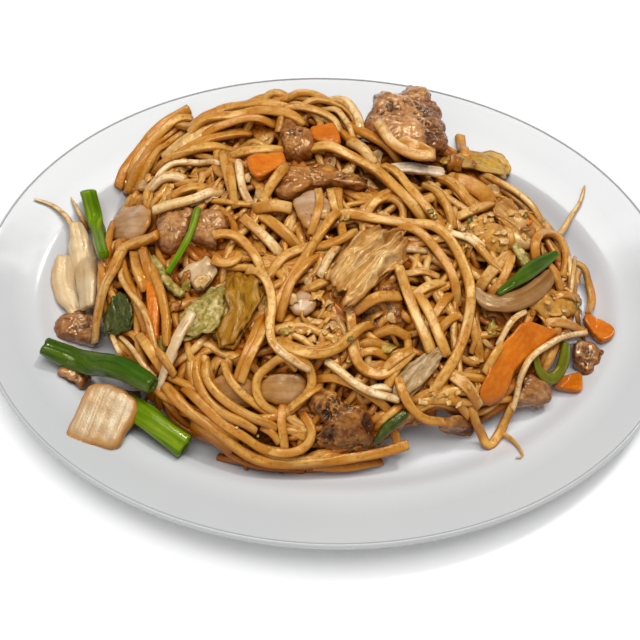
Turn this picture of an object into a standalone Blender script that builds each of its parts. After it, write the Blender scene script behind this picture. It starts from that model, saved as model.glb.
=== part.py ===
"""Beef lo mein heaped on an oval white plate.

The plate is a constant-width-rim oval. The noodles are one heap with an uneven outline, and every
beef, carrot, scallion, cabbage, onion and egg piece is a solid of its own, bedded in the heap or
lying on the plate. Metres, +Z up, origin under the middle of the plate, long axis along X.
"""
import math

import bmesh
import bpy
import numpy as np

MM = 0.001
GAP = 0.35 * MM                 # room left between pieces that touch

# Plate: a 12 x 9 inch oval
PLATE_HALF_LENGTH = 152.5 * MM
PLATE_HALF_WIDTH = 114.0 * MM
PLATE_HEIGHT = 22.0 * MM
PLATE_SPOKES = 40
RIM_SLOPE_IN = 23.0 * MM        # how far in from the edge the rim stays gently sloped
RIM_INNER_HEIGHT = 15.2 * MM
WELL_EDGE_IN = 38.0 * MM        # where the curved wall has reached the well
WELL_HEIGHT = 5.0 * MM
WELL_MIDDLE_HEIGHT = 4.0 * MM
FOOT_OUTER_IN = 44.0 * MM
FOOT_INNER_IN = 49.0 * MM
FOOT_RECESS = 1.2 * MM
RIM_THICKNESS = 4.2 * MM
EDGE_ROUND = 1.5 * MM

# Noodle heap: an oval mound with three soft lobes
HEAP_CENTRE_Y = 9.5 * MM
HEAP_HALF_LENGTH = 113.0 * MM
HEAP_HALF_WIDTH = 89.0 * MM
HEAP_LOBE = 0.054
HEAP_LOBE_TURN = math.radians(-7)
HEAP_RISE = 42.0 * MM
HEAP_HUMP = 2.0 * MM            # broad rises and dips
HEAP_RIPPLE = 1.5 * MM
HEAP_CURL = 1.3 * MM            # ridges where bundles of noodles curl round the mound
HEAP_SPOKES = 40
HEAP_RINGS = 18

COLLECTION_NAME = "lo_mein"
CUTTER_COLLECTION_NAME = "clearances"


# ---------------------------------------------------------------- scene and material helpers

def empty_scene():
    """Remove what the start-up file holds."""
    for item in list(bpy.data.objects):
        bpy.data.objects.remove(item, do_unlink=True)


def new_collection(name):
    collection = bpy.data.collections.new(name)
    bpy.context.scene.collection.children.link(collection)
    return collection


def finish(item, colour, roughness):
    """Give a piece its own Principled material: base colour and roughness."""
    material = bpy.data.materials.new(item.name + "_finish")
    material.use_nodes = True
    shader = material.node_tree.nodes["Principled BSDF"]
    shader.inputs["Base Color"].default_value = (*colour, 1.0)
    shader.inputs["Roughness"].default_value = roughness
    shader.inputs["Metallic"].default_value = 0.0
    item.data.materials.append(material)


def object_from_bmesh(name, shape, collection):
    mesh = bpy.data.meshes.new(name)
    bmesh.ops.triangulate(shape, faces=shape.faces)
    bmesh.ops.recalc_face_normals(shape, faces=shape.faces)
    shape.to_mesh(mesh)
    shape.free()
    item = bpy.data.objects.new(name, mesh)
    collection.objects.link(item)
    return item


def as_cutter(item):
    item.hide_render = True
    item.display_type = "WIRE"


# ---------------------------------------------------------------- plate

def plate_upper_profile():
    """(distance in from the edge, height) of the plate's upper side, from the edge to the well."""
    wall = []
    steps = 3
    for i in range(1, steps + 1):
        t = i / steps
        ease = t * t * (3.0 - 2.0 * t)
        wall.append((RIM_SLOPE_IN + (WELL_EDGE_IN - RIM_SLOPE_IN) * t,
                     RIM_INNER_HEIGHT + (WELL_HEIGHT - RIM_INNER_HEIGHT) * ease))
    edge = [(0.0, PLATE_HEIGHT - EDGE_ROUND), (EDGE_ROUND, PLATE_HEIGHT)]
    floor = [(0.7 * PLATE_HALF_WIDTH, WELL_MIDDLE_HEIGHT)]
    return edge + [(RIM_SLOPE_IN, RIM_INNER_HEIGHT)] + wall + floor


def plate_lower_profile():
    """(distance in, height) of the underside, from the middle's recess out to the edge."""
    return [(0.7 * PLATE_HALF_WIDTH, FOOT_RECESS),
            (FOOT_INNER_IN, FOOT_RECESS),
            (FOOT_INNER_IN - FOOT_RECESS, 0.0),
            (FOOT_OUTER_IN, 0.0),
            (WELL_EDGE_IN, WELL_HEIGHT - RIM_THICKNESS + 0.8 * MM),
            (RIM_SLOPE_IN - MM, RIM_INNER_HEIGHT - RIM_THICKNESS - MM),
            (EDGE_ROUND, PLATE_HEIGHT - RIM_THICKNESS)]


def oval_ring(inset, height):
    """Points of an oval that runs a constant distance inside the plate's edge."""
    turn = np.linspace(0.0, 2.0 * math.pi, PLATE_SPOKES, endpoint=False)
    return np.stack([(PLATE_HALF_LENGTH - inset) * np.cos(turn),
                     (PLATE_HALF_WIDTH - inset) * np.sin(turn),
                     np.full(PLATE_SPOKES, height)], axis=1)


def loft_ovals(name, profile, collection):
    """A closed body through ovals of unlike proportion, capped by a point at each end."""
    shape = bmesh.new()
    rings = [[shape.verts.new(p) for p in oval_ring(*station)] for station in profile]
    for lower, upper in zip(rings, rings[1:]):
        for i in range(PLATE_SPOKES):
            j = (i + 1) % PLATE_SPOKES
            shape.faces.new((lower[i], lower[j], upper[j], upper[i]))
    for ring, height in ((rings[0], profile[0][1]), (rings[-1], profile[-1][1])):
        pole = shape.verts.new((0.0, 0.0, height))
        for i in range(PLATE_SPOKES):
            shape.faces.new((ring[i], ring[(i + 1) % PLATE_SPOKES], pole))
    return object_from_bmesh(name, shape, collection)


def make_plate(collection):
    profile = plate_upper_profile()[::-1] + plate_lower_profile()[::-1]
    plate = loft_ovals("plate", profile, collection)
    finish(plate, (0.83, 0.83, 0.82), 0.15)
    return plate


def make_plate_clearance(collection):
    """Everything below the plate's upper side, raised by the gap: what lies on the plate is cut by it."""
    upper = [(inset, height + GAP) for inset, height in plate_upper_profile()[::-1]]
    beyond = 20.0 * MM
    skirt = [(-beyond, PLATE_HEIGHT), (-beyond, -beyond), (0.7 * PLATE_HALF_WIDTH, -beyond)]
    clearance = loft_ovals("plate_clearance", upper + skirt, collection)
    as_cutter(clearance)
    return clearance


def plate_height(x, y):
    """Height of the plate's upper side: the inset of the oval through a point, found by halving."""
    near = np.full(np.shape(x), -10.0 * MM)
    far = np.full(np.shape(x), PLATE_HALF_WIDTH - MM)
    for _ in range(36):
        middle = 0.5 * (near + far)
        outside = (x / (PLATE_HALF_LENGTH - middle)) ** 2 + (y / (PLATE_HALF_WIDTH - middle)) ** 2 > 1.0
        far = np.where(outside, middle, far)
        near = np.where(outside, near, middle)
    insets, heights = zip(*plate_upper_profile())
    return np.interp(near, insets, heights)


# ---------------------------------------------------------------- noodle heap

def heap_reach(turn):
    """How far the heap spreads in each direction from its centre: an oval with three lobes."""
    oval = 1.0 / np.sqrt((np.cos(turn) / HEAP_HALF_LENGTH) ** 2 + (np.sin(turn) / HEAP_HALF_WIDTH) ** 2)
    return oval * (1.0 + HEAP_LOBE * np.cos(3.0 * (turn - HEAP_LOBE_TURN)))


def heap_height(x, y):
    """Top of the heap: a steep-sided mound on the plate with humps, ripples and curling ridges that
    fade out at its edge, and bare plate beyond it."""
    turn = np.arctan2(y - HEAP_CENTRE_Y, x)
    spread = np.hypot(x, y - HEAP_CENTRE_Y) / heap_reach(turn)
    mound = np.clip(1.0 - spread ** 2.6, 0.0, 1.0)
    humps = HEAP_HUMP * np.sin(x / (17 * MM) + 1.0) * np.sin(y / (13 * MM) + 2.0)
    ripples = HEAP_RIPPLE * np.sin((x + y) / (9 * MM))
    curls = HEAP_CURL * np.sin(13.0 * spread + 3.0 * turn)
    return plate_height(x, y) + HEAP_RISE * mound ** 0.6 + (humps + ripples + curls) * np.sqrt(mound)


def make_heap(collection):
    """A sphere flattened underneath and drawn up to the mound; the plate and the pieces bedded in it
    are cut away afterwards."""
    shape = bmesh.new()
    bmesh.ops.create_uvsphere(shape, u_segments=HEAP_SPOKES, v_segments=HEAP_RINGS, radius=1.0)
    lowest_ring = -math.sin(math.pi / HEAP_RINGS) * 0.5
    bmesh.ops.delete(shape, geom=[v for v in shape.verts if v.co.z < lowest_ring], context="VERTS")
    rim = [e for e in shape.edges if e.is_boundary]
    bmesh.ops.contextual_create(shape, geom=rim)
    points = np.array([v.co for v in shape.verts])
    turn = np.arctan2(points[:, 1], points[:, 0])
    spread = np.hypot(points[:, 0], points[:, 1]) ** 1.3
    reach = heap_reach(turn) * spread
    x = reach * np.cos(turn)
    y = HEAP_CENTRE_Y + reach * np.sin(turn)
    z = heap_height(x, y)
    z[np.abs(points[:, 2]) < 1e-5] -= 12.0 * MM
    for vertex, place in zip(shape.verts, np.stack([x, y, z], axis=1)):
        vertex.co = place
    heap = object_from_bmesh("noodle_heap", shape, collection)
    finish(heap, (0.50, 0.27, 0.09), 0.35)
    return heap


# ---------------------------------------------------------------- shapes of the pieces in the heap

def plan_reach(turn, corners):
    """Reach of a piece's plan: a circle, a rounded square, or a polygon with its corners on the circle."""
    if corners == 0:
        return np.ones_like(turn)
    if corners == 4:
        return (np.abs(np.cos(turn)) ** 6 + np.abs(np.sin(turn)) ** 6) ** (-1.0 / 6.0)
    side = 2.0 * math.pi / corners
    return math.cos(side / 2.0) / np.cos(np.mod(turn, side) - side / 2.0)


def slope_of_food(x, y):
    """Rise of the heap along X and along Y at one place, over a step as long as a small piece."""
    step = 6.0 * MM
    east_west = heap_height(np.array([x - step, x + step]), np.array([y, y]))
    north_south = heap_height(np.array([x, x]), np.array([y - step, y + step]))
    return (east_west[1] - east_west[0]) / (2 * step), (north_south[1] - north_south[0]) / (2 * step)


def chunk(name, collection, place, size, turn, proud, corners=0, boxy=0.5, limp=0.3, lumps=0.08,
          slope=None, grow=0.0):
    """A rounded slab laid on the food: a sphere squared off by powers, its plan drawn to an oval, a
    square or a polygon, and made uneven by a few waves. Sizes and places in mm, turn in degrees.
    proud is how far its top stands out of the heap. A stiff piece keeps the plane that touches the
    food under its middle, and a limp one follows every rise and dip."""
    length, width, thickness = (MM * s for s in size)
    spokes = 12 if corners == 4 else 10
    shape = bmesh.new()
    bmesh.ops.create_uvsphere(shape, u_segments=spokes, v_segments=5, radius=1.0)
    points = np.array([v.co for v in shape.verts])
    half_spoke = math.pi / spokes if corners == 4 else 0.0
    around = np.arctan2(points[:, 1], points[:, 0]) + half_spoke
    phase = sum(map(ord, name)) % 17
    waves = 1.0 + lumps * (np.sin(3 * around + phase) + 0.6 * np.sin(5 * around + 2 * phase))
    out = np.hypot(points[:, 0], points[:, 1]) ** boxy * plan_reach(around, corners) * waves
    u = out * np.cos(around) * (length / 2.0 + grow)
    v = out * np.sin(around) * (width / 2.0 + grow)
    height = np.sign(points[:, 2]) * np.abs(points[:, 2]) ** 0.8 * (thickness / 2.0 + grow)

    angle = math.radians(turn)
    mx, my = MM * place[0], MM * place[1]
    x = mx + u * math.cos(angle) - v * math.sin(angle)
    y = my + u * math.sin(angle) + v * math.cos(angle)
    rise_x, rise_y = slope or slope_of_food(mx, my)
    plane = float(heap_height(np.array([mx]), np.array([my]))[0]) + rise_x * (x - mx) + rise_y * (y - my)
    bed = plane + limp * (heap_height(x, y) - plane)
    z = bed + MM * proud - thickness / 2.0 + height
    for vertex, spot in zip(shape.verts, np.stack([x, y, z], axis=1)):
        vertex.co = spot
    return object_from_bmesh(name, shape, collection)


def smooth_route(route, count):
    """Evenly spread points on the Catmull-Rom curve through a route's own points."""
    knots = np.vstack([2 * route[0] - route[1], route, 2 * route[-1] - route[-2]])
    t = np.linspace(0.0, 1.0, 16, endpoint=False)[:, None]
    fine = [0.5 * (2 * b + (c - a) * t + (2 * a - 5 * b + 4 * c - d) * t ** 2
                   + (3 * b - a - 3 * c + d) * t ** 3)
            for a, b, c, d in zip(knots, knots[1:], knots[2:], knots[3:])]
    fine = np.vstack(fine + [route[-1:]])
    run = np.concatenate([[0.0], np.cumsum(np.linalg.norm(np.diff(fine, axis=0), axis=1))])
    even = np.linspace(0.0, run[-1], count)
    return np.stack([np.interp(even, run, fine[:, k]) for k in range(3)], axis=1)


def strip(name, collection, route, width, thickness, taper=1.0, sides=6, grow=0.0):
    """A stem or strip: a capped cylinder, cut across its length, flattened and carried along a route.
    Each point of the route is x, y and the height of the strip's middle above the food there, in mm.
    taper is the far end's width against the near end's."""
    knots = np.array(route, float) * MM
    knots[:, 2] += heap_height(knots[:, 0], knots[:, 1])
    length = float(np.linalg.norm(np.diff(knots, axis=0), axis=1).sum())
    stations = max(4, round(length / (7.0 * MM)))
    shape = bmesh.new()
    bmesh.ops.create_cone(shape, cap_ends=True, segments=sides, radius1=1.0, radius2=1.0, depth=1.0)
    for i in range(1, stations):
        bmesh.ops.bisect_plane(shape, geom=shape.verts[:] + shape.edges[:] + shape.faces[:],
                               plane_co=(0.0, 0.0, i / stations - 0.5), plane_no=(0.0, 0.0, 1.0))
    points = np.array([v.co for v in shape.verts])
    along = points[:, 2] + 0.5
    path = smooth_route(knots, 33)
    heading = np.gradient(path, axis=0)
    heading /= np.linalg.norm(heading, axis=1)[:, None]
    ticks = np.linspace(0.0, 1.0, len(path))
    centre = np.stack([np.interp(along, ticks, path[:, k]) for k in range(3)], axis=1)
    ahead = np.stack([np.interp(along, ticks, heading[:, k]) for k in range(3)], axis=1)
    side = np.stack([-ahead[:, 1], ahead[:, 0], np.zeros(len(ahead))], axis=1)
    side /= np.linalg.norm(side, axis=1)[:, None]
    upward = np.cross(ahead, side)
    narrowing = 1.0 + (taper - 1.0) * along
    at_end = np.where(along < 0.001, -1.0, np.where(along > 0.999, 1.0, 0.0))
    across = (points[:, 0] * (MM * width / 2.0 * narrowing + grow))[:, None]
    through = (points[:, 1] * (MM * thickness / 2.0 * narrowing + grow))[:, None]
    places = centre + ahead * (at_end * grow)[:, None] + side * across + upward * through
    for vertex, place in zip(shape.verts, places):
        vertex.co = place
    return object_from_bmesh(name, shape, collection)


# ---------------------------------------------------------------- the pieces, group by group
# Each row is a name, the maker of its shape and that maker's sizes in mm. The groups lie over each
# other in this order: a later piece is bedded in the earlier ones that it meets.

class Group:
    """Pieces of one kind, with their colour, roughness and rows."""

    def __init__(self, colour, roughness, rows):
        self.colour = colour
        self.roughness = roughness
        self.rows = rows


BURIED_ONION = Group((0.58, 0.45, 0.31), 0.30, (
    ("onion_left", chunk, dict(place=(-89, 28), size=(24, 22, 5), turn=-20, proud=1.0, limp=0.8)),
    ("onion_middle", chunk, dict(place=(-10, 25), size=(14, 21, 6), turn=9, proud=2.0)),
    ("onion_loop", chunk, dict(place=(-17, -52), size=(21, 15, 7), turn=3, proud=0.0, limp=0.6)),
    ("onion_front_left", chunk, dict(place=(-36, -54), size=(20, 12, 5), turn=4, proud=0.0)),
    ("onion_small", chunk, dict(place=(-11, -17), size=(12, 13, 6), turn=5, proud=1.0)),
))

BURIED_CABBAGE = Group((0.66, 0.50, 0.28), 0.35, (
    ("cabbage_left", chunk, dict(place=(-57, -4), size=(22, 22, 5), turn=0, proud=1.5, corners=5)),
    ("cabbage_far_left", strip, dict(route=((-78, 62, 1.0), (-66, 69, 1.0), (-52, 77, 1.0)),
                                     width=6.5, thickness=4.0)),
    ("cabbage_far_left_leaf", chunk, dict(place=(-90, 53), size=(17, 13, 4.5), turn=-20, proud=2.0,
                                          limp=0.8)),
    ("cabbage_far_middle", chunk, dict(place=(7, 80), size=(15, 18, 5), turn=-28, proud=1.5, limp=0.8)),
    ("cabbage_far_right", chunk, dict(place=(65, 64), size=(28, 12, 6), turn=4, proud=3.0, corners=4,
                                      limp=0.7)),
    ("cabbage_right_upper", chunk, dict(place=(83, 32), size=(21, 17, 6), turn=-22, proud=2.0, corners=4,
                                        limp=0.6)),
))

EGG = Group((0.62, 0.36, 0.10), 0.45, (
    ("egg_right_upper", chunk, dict(place=(68, 22), size=(16, 14, 7), turn=12, proud=3.0, lumps=0.14)),
    ("egg_right", chunk, dict(place=(95, -8), size=(20, 13, 6), turn=19, proud=2.5, lumps=0.14)),
))

BEEF = Group((0.20, 0.085, 0.035), 0.40, (
    ("beef_far_middle", chunk, dict(place=(-17, 64), size=(31, 15, 13), turn=97, proud=5.0, lumps=0.12)),
    ("beef_middle_far", chunk, dict(place=(-4, 39), size=(43, 15, 11), turn=10, proud=4.0, lumps=0.14,
                                    limp=0.5)),
    ("beef_left_inner", chunk, dict(place=(-67, 14), size=(20, 19, 12), turn=-10, proud=4.0)),
    ("beef_left_middle", chunk, dict(place=(-49, 13), size=(15, 22, 12), turn=7, proud=4.0)),
    ("beef_left_edge", chunk, dict(place=(-110, -19), size=(19, 18, 12), turn=-14, proud=9.0, lumps=0.12)),
    ("beef_left_low", chunk, dict(place=(-107, -44), size=(17, 11, 9), turn=-30, proud=6.0, corners=4,
                                  slope=(0.0, 0.2))),
    ("beef_front", chunk, dict(place=(8, -63), size=(29, 24, 15), turn=-8, proud=6.0, corners=4,
                               lumps=0.10)),
    ("beef_middle", chunk, dict(place=(25, -16), size=(27, 20, 11), turn=15, proud=-1.0)),
    ("beef_right", chunk, dict(place=(111, -24), size=(14, 15, 11), turn=5, proud=8.0, corners=4,
                               slope=(-0.2, 0.2))),
    ("beef_right_low", chunk, dict(place=(90, -43), size=(14, 13, 10), turn=-12, proud=7.0, corners=4,
                                   slope=(0.0, 0.4))),
    ("beef_front_right", chunk, dict(place=(55, -60), size=(20, 8, 9), turn=-5, proud=5.0, corners=4)),
    ("beef_far_right", chunk, dict(place=(30, 80), size=(38, 38, 20), turn=8, proud=15.0, lumps=0.10,
                                   slope=(0.0, -0.25))),
))

CARROT = Group((0.75, 0.20, 0.02), 0.30, (
    ("carrot_far_left", chunk, dict(place=(-29, 46), size=(21, 16, 5), turn=-8, proud=4.0, corners=5,
                                    boxy=0.3, lumps=0.03)),
    ("carrot_far_middle", chunk, dict(place=(-4, 65), size=(13, 12, 5), turn=-25, proud=3.5, corners=4,
                                      boxy=0.3, lumps=0.03)),
    ("carrot_right", chunk, dict(place=(120, -9), size=(11, 12, 5), turn=-25, proud=6.0, corners=4,
                                 boxy=0.3, lumps=0.03)),
    ("carrot_right_low", chunk, dict(place=(104, -39), size=(13, 9, 4.5), turn=-6, proud=5.5, corners=4,
                                     boxy=0.3, lumps=0.03)),
    ("carrot_slab", chunk, dict(place=(79, -34), size=(37, 13, 5), turn=55, proud=5.0, corners=4,
                                boxy=0.3, lumps=0.03, limp=0.6)),
    ("carrot_sliver", strip, dict(route=((-76, 2, 1.5), (-72, -17, 1.5), (-71, -34, 1.5)), width=5.5,
                                  thickness=4.0)),
))

CABBAGE = Group((0.66, 0.50, 0.28), 0.35, (
    ("cabbage_centre", chunk, dict(place=(18, -3), size=(46, 20, 9), turn=50, proud=6.0, lumps=0.12,
                                   limp=0.6)),
    ("leaf_olive", chunk, dict(place=(-35, -24), size=(31, 14, 5), turn=-92, proud=3.5, corners=4,
                               limp=0.8)),
    ("napa_leaf_pale", chunk, dict(place=(-50, -24), size=(20, 14, 5), turn=56, proud=4.5, lumps=0.14,
                                   limp=0.7)),
    ("cabbage_rib", strip, dict(route=((-65, -49, 2.5), (-59, -38, 2.5), (-56, -31, 3.0)), width=5.0,
                                thickness=3.5)),
    ("cabbage_strip_left", strip, dict(route=((-75, 5, 2.5), (-67, -8, 2.5), (-60, -14, 2.5)), width=4.0,
                                       thickness=3.5)),
    ("cabbage_grey", strip, dict(route=((33, -51, 2.0), (40, -43, 2.0), (47, -37, 2.0)), width=7.5,
                                 thickness=4.5)),
))

ONION = Group((0.58, 0.45, 0.31), 0.30, (
    ("onion_right", strip, dict(route=((61, -7, 2), (68, -12, 2), (81, -11, 2), (92, 0, 2), (98, 10, 2)),
                                width=7.0, thickness=4.5)),
    ("onion_far_right", strip, dict(route=((26, 49, 2.5), (38, 53, 2.5), (52, 54, 2.5)), width=5.2,
                                    thickness=4.0)),
))

STEMS = Group((0.72, 0.58, 0.36), 0.30, (
    ("stem_left_lower", strip, dict(route=((-119, 15, 4.5), (-117, 2, 4.5), (-110, -9, 4.0)), width=11.0,
                                    thickness=6.0)),
    ("stem_left_upper", strip, dict(route=((-112, 34, 7.0), (-110, 14, 7.0), (-104, -8, 6.0)), width=12.0,
                                    thickness=6.5)),
    ("napa_stem", chunk, dict(place=(-92, -62), size=(29, 23, 6), turn=72, proud=8.0, corners=4,
                              boxy=0.3, lumps=0.02, limp=0.0, slope=(0.05, 0.20))),
))

GREENS = Group((0.05, 0.16, 0.02), 0.25, (
    ("leaf_left", chunk, dict(place=(-88, -19), size=(23, 13, 4), turn=-85, proud=2.5, limp=0.7)),
    ("scallion_front", strip, dict(route=((-84, -54, 6.5), (-70, -63, 6.0), (-55, -73, 5.5)), width=10.5,
                                   thickness=8.5)),
    ("scallion_big", strip, dict(route=((-119, -33, 9), (-104, -37, 12), (-85, -43, 10), (-69, -52, 8)),
                                 width=10.0, thickness=9.0)),
    ("scallion_left", strip, dict(route=((-110, 44, 10), (-106, 32, 11), (-97, 7, 8)), width=8.0,
                                  thickness=7.0, taper=0.7)),
    ("scallion_thin", strip, dict(route=((-56, 23, 6.5), (-59, 9, 6.5), (-67, -5, 5.0)), width=2.8,
                                  thickness=2.8)),
    ("scallion_right_leaf", strip, dict(route=((71, -9, 4.5), (81, 0, 4.5), (92, 11, 4.5), (99, 18, 4.5)),
                                        width=6.5, thickness=4.0)),
    ("scallion_right_pale", strip, dict(route=((79, 17, 2.5), (82, 12, 2.5), (85, 7, 2.5)), width=4.3,
                                        thickness=3.0)),
    ("scallion_ring", strip, dict(route=((91, -26, 2.5), (93, -35, 2.5), (99, -37, 2.5), (104, -32, 2.5),
                                         (104, -21, 2.5)), width=3.4, thickness=4.0)),
    ("scallion_dark_front", strip, dict(route=((22, -70, 5.0), (28, -65, 5.0), (35, -59, 4.0)), width=5.0,
                                        thickness=3.5)),
))

GROUPS = (BURIED_ONION, BURIED_CABBAGE, EGG, BEEF, CARROT, CABBAGE, ONION, STEMS, GREENS)


# ---------------------------------------------------------------- bedding the pieces in each other

def box_of(item):
    points = np.array([v.co for v in item.data.vertices])
    return points.min(axis=0), points.max(axis=0)


def boxes_meet(first, second):
    (low_a, high_a), (low_b, high_b) = first, second
    return bool(np.all(low_a <= high_b) and np.all(low_b <= high_a))


def cut(item, cutter):
    modifier = item.modifiers.new("room_for_" + cutter.name, "BOOLEAN")
    modifier.operation = "DIFFERENCE"
    modifier.solver = "EXACT"
    modifier.object = cutter


def settle_cuts(item):
    """Make the cuts final, and drop crumbs that a cut has parted from the piece."""
    view = bpy.context.evaluated_depsgraph_get()
    mesh = bpy.data.meshes.new_from_object(item.evaluated_get(view))
    item.modifiers.clear()
    shape = bmesh.new()
    shape.from_mesh(mesh)
    bmesh.ops.dissolve_limit(shape, angle_limit=math.radians(1.5), verts=shape.verts, edges=shape.edges)
    bmesh.ops.triangulate(shape, faces=shape.faces)
    bmesh.ops.remove_doubles(shape, verts=shape.verts, dist=0.02 * MM)
    bmesh.ops.dissolve_degenerate(shape, edges=shape.edges, dist=0.02 * MM)
    largest = max(loose_bodies(shape), key=len)
    crumbs = [f for f in shape.faces if f not in largest]
    bmesh.ops.delete(shape, geom=crumbs, context="FACES")
    bmesh.ops.triangulate(shape, faces=shape.faces)
    shape.to_mesh(mesh)
    shape.free()
    materials = list(item.data.materials)
    item.data = mesh
    mesh.materials.clear()
    for material in materials:
        mesh.materials.append(material)


def loose_bodies(shape):
    """The sets of faces that hang together by their edges."""
    left = set(shape.faces)
    bodies = []
    while left:
        front = [left.pop()]
        body = set(front)
        while front:
            near = {f for face in front for e in face.edges for f in e.link_faces} & left
            left -= near
            body |= near
            front = list(near)
        bodies.append(body)
    return bodies


def build():
    empty_scene()
    food = new_collection(COLLECTION_NAME)
    cutters = new_collection(CUTTER_COLLECTION_NAME)

    make_plate(food)
    plate_room = make_plate_clearance(cutters)
    heap = make_heap(food)

    pieces = []
    for group in GROUPS:
        for name, maker, sizes in group.rows:
            piece = maker(name, food, **sizes)
            finish(piece, group.colour, group.roughness)
            room = maker(name, cutters, grow=GAP, **sizes)
            as_cutter(room)
            pieces.append((piece, room))

    for i, (piece, room) in enumerate(pieces):
        cut(piece, plate_room)
        for _, upper_room in pieces[i + 1:]:
            if boxes_meet(box_of(piece), box_of(upper_room)):
                cut(piece, upper_room)
        cut(heap, room)
    cut(heap, plate_room)

    for item in [heap] + [piece for piece, _ in pieces]:
        settle_cuts(item)


build()
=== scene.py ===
"""Beef lo mein heaped on an oval white plate, food and plate as one served dish.

The file follows the dish as it is put together: the plate, the core of the heap, the vegetables, egg and
beef bedded in it, the noodles under and over them, the sprouts among those, and the small bits last.
Sizes are in millimetres in each section and become metres as a mesh is made.
"""
import math

import bpy
import numpy as np
from mathutils import Matrix


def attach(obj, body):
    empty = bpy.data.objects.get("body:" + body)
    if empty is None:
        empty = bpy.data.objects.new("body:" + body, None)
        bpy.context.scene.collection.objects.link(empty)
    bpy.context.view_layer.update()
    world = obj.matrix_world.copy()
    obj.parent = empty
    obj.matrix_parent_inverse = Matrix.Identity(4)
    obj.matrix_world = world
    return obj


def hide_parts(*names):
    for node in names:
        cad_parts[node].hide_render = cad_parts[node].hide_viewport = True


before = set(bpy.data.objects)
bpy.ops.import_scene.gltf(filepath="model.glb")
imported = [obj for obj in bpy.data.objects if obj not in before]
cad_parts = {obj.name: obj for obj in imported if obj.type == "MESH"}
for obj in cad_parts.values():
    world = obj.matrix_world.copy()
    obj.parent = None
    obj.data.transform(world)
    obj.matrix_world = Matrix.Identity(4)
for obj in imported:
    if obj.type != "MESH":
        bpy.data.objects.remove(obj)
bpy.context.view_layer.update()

# ------------------------------------------------------------------------------ camera
# The dish is seen from the diner's side, from well above, with the lens a little off its middle.
# What lies on the food is placed where it shows in the picture, by a sight line down to the food.
MM = 0.001
PICTURE_WIDTH = 640
FOCAL_PIXELS = 1221.7
PICTURE_MIDDLE = (327.6, 311.7)
VIEW_AZIMUTH = math.radians(2.67)
VIEW_ELEVATION = math.radians(64.0)
VIEW_DISTANCE = 550.0
SENSOR = 36.0

view_back = np.array([math.sin(VIEW_AZIMUTH) * math.cos(VIEW_ELEVATION),
                      -math.cos(VIEW_AZIMUTH) * math.cos(VIEW_ELEVATION),
                      math.sin(VIEW_ELEVATION)])
view_right = np.array([math.cos(VIEW_AZIMUTH), math.sin(VIEW_AZIMUTH), 0.0])
view_up = np.cross(view_back, view_right)
eye = view_back * VIEW_DISTANCE

camera_data = bpy.data.cameras.new("camera")
camera_data.sensor_width = SENSOR
camera_data.lens = FOCAL_PIXELS * SENSOR / PICTURE_WIDTH
camera_data.shift_x = (PICTURE_WIDTH / 2 - PICTURE_MIDDLE[0]) / PICTURE_WIDTH
camera_data.shift_y = (PICTURE_MIDDLE[1] - PICTURE_WIDTH / 2) / PICTURE_WIDTH
camera = bpy.data.objects.new("camera", camera_data)
bpy.context.scene.collection.objects.link(camera)


def set_place(thing, right, up, back, place):
    """Turn an object so that its axes run along three directions, and put it at a place in metres."""
    axes = np.column_stack([right, up, back, place])
    thing.matrix_world = Matrix(np.vstack([axes, [0, 0, 0, 1]]).tolist())


set_place(camera, view_right, view_up, view_back, eye * MM)
bpy.context.scene.camera = camera


def sight_line(pixels, height):
    """Where the sight lines through pixels meet given heights, in mm: eye + t * ray."""
    pixels = np.asarray(pixels, float)
    across = (pixels[..., 0] - PICTURE_MIDDLE[0]) / FOCAL_PIXELS
    down = (pixels[..., 1] - PICTURE_MIDDLE[1]) / FOCAL_PIXELS
    ray = across[..., None] * view_right - down[..., None] * view_up - view_back
    return eye + ray * ((height - eye[2]) / ray[..., 2])[..., None]


# ------------------------------------------------------------------------------ floor and light
# A pale floor, and soft light: a small lamp at the far right that models the food as a window does,
# a broad one overhead, and a weak one at the near left that fills the shadows.
FLOOR_SIZE = 6.0
FLOOR_DROP = 0.0006
FLOOR_GREY = 0.93
ROOM_LIGHT = 0.36


def new_material(name):
    """A material with its node tree and its shader."""
    material = bpy.data.materials.new(name)
    material.use_nodes = True
    tree = material.node_tree
    return material, tree, tree.nodes["Principled BSDF"]


floor_material, _, floor_shader = new_material("pale_floor")
floor_shader.inputs["Base Color"].default_value = (FLOOR_GREY, FLOOR_GREY, FLOOR_GREY, 1)
floor_shader.inputs["Roughness"].default_value = 0.9
bpy.ops.mesh.primitive_plane_add(size=FLOOR_SIZE, location=(0, 0, -FLOOR_DROP))
floor = bpy.context.object
floor.name = "floor"
floor.data.materials.append(floor_material)


def soft_lamp(name, place, size, watts, colour=(1, 1, 1)):
    """A square lamp of a given side in metres, turned towards the dish."""
    lamp_data = bpy.data.lights.new(name, "AREA")
    lamp_data.size = size
    lamp_data.energy = watts
    lamp_data.color = colour
    lamp = bpy.data.objects.new(name, lamp_data)
    bpy.context.scene.collection.objects.link(lamp)
    back = np.array(place, float)
    back /= np.linalg.norm(back)
    side = np.cross([0.0, 0.0, 1.0], back)
    side /= np.linalg.norm(side)
    set_place(lamp, side, np.cross(back, side), back, place)


soft_lamp("window", (0.50, 0.52, 1.42), 0.17, 9.0, (1.0, 0.99, 0.97))
soft_lamp("ceiling", (-0.05, 0.10, 1.6), 1.0, 21.0)
soft_lamp("wall_bounce", (-0.9, -1.2, 0.9), 1.2, 4.5)

world = bpy.data.worlds.new("room")
bpy.context.scene.world = world
world.use_nodes = True
world.node_tree.nodes["Background"].inputs["Color"].default_value = (1.0, 1.0, 1.0, 1)
world.node_tree.nodes["Background"].inputs["Strength"].default_value = ROOM_LIGHT
bpy.context.scene.view_settings.view_transform = "Standard"


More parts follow.
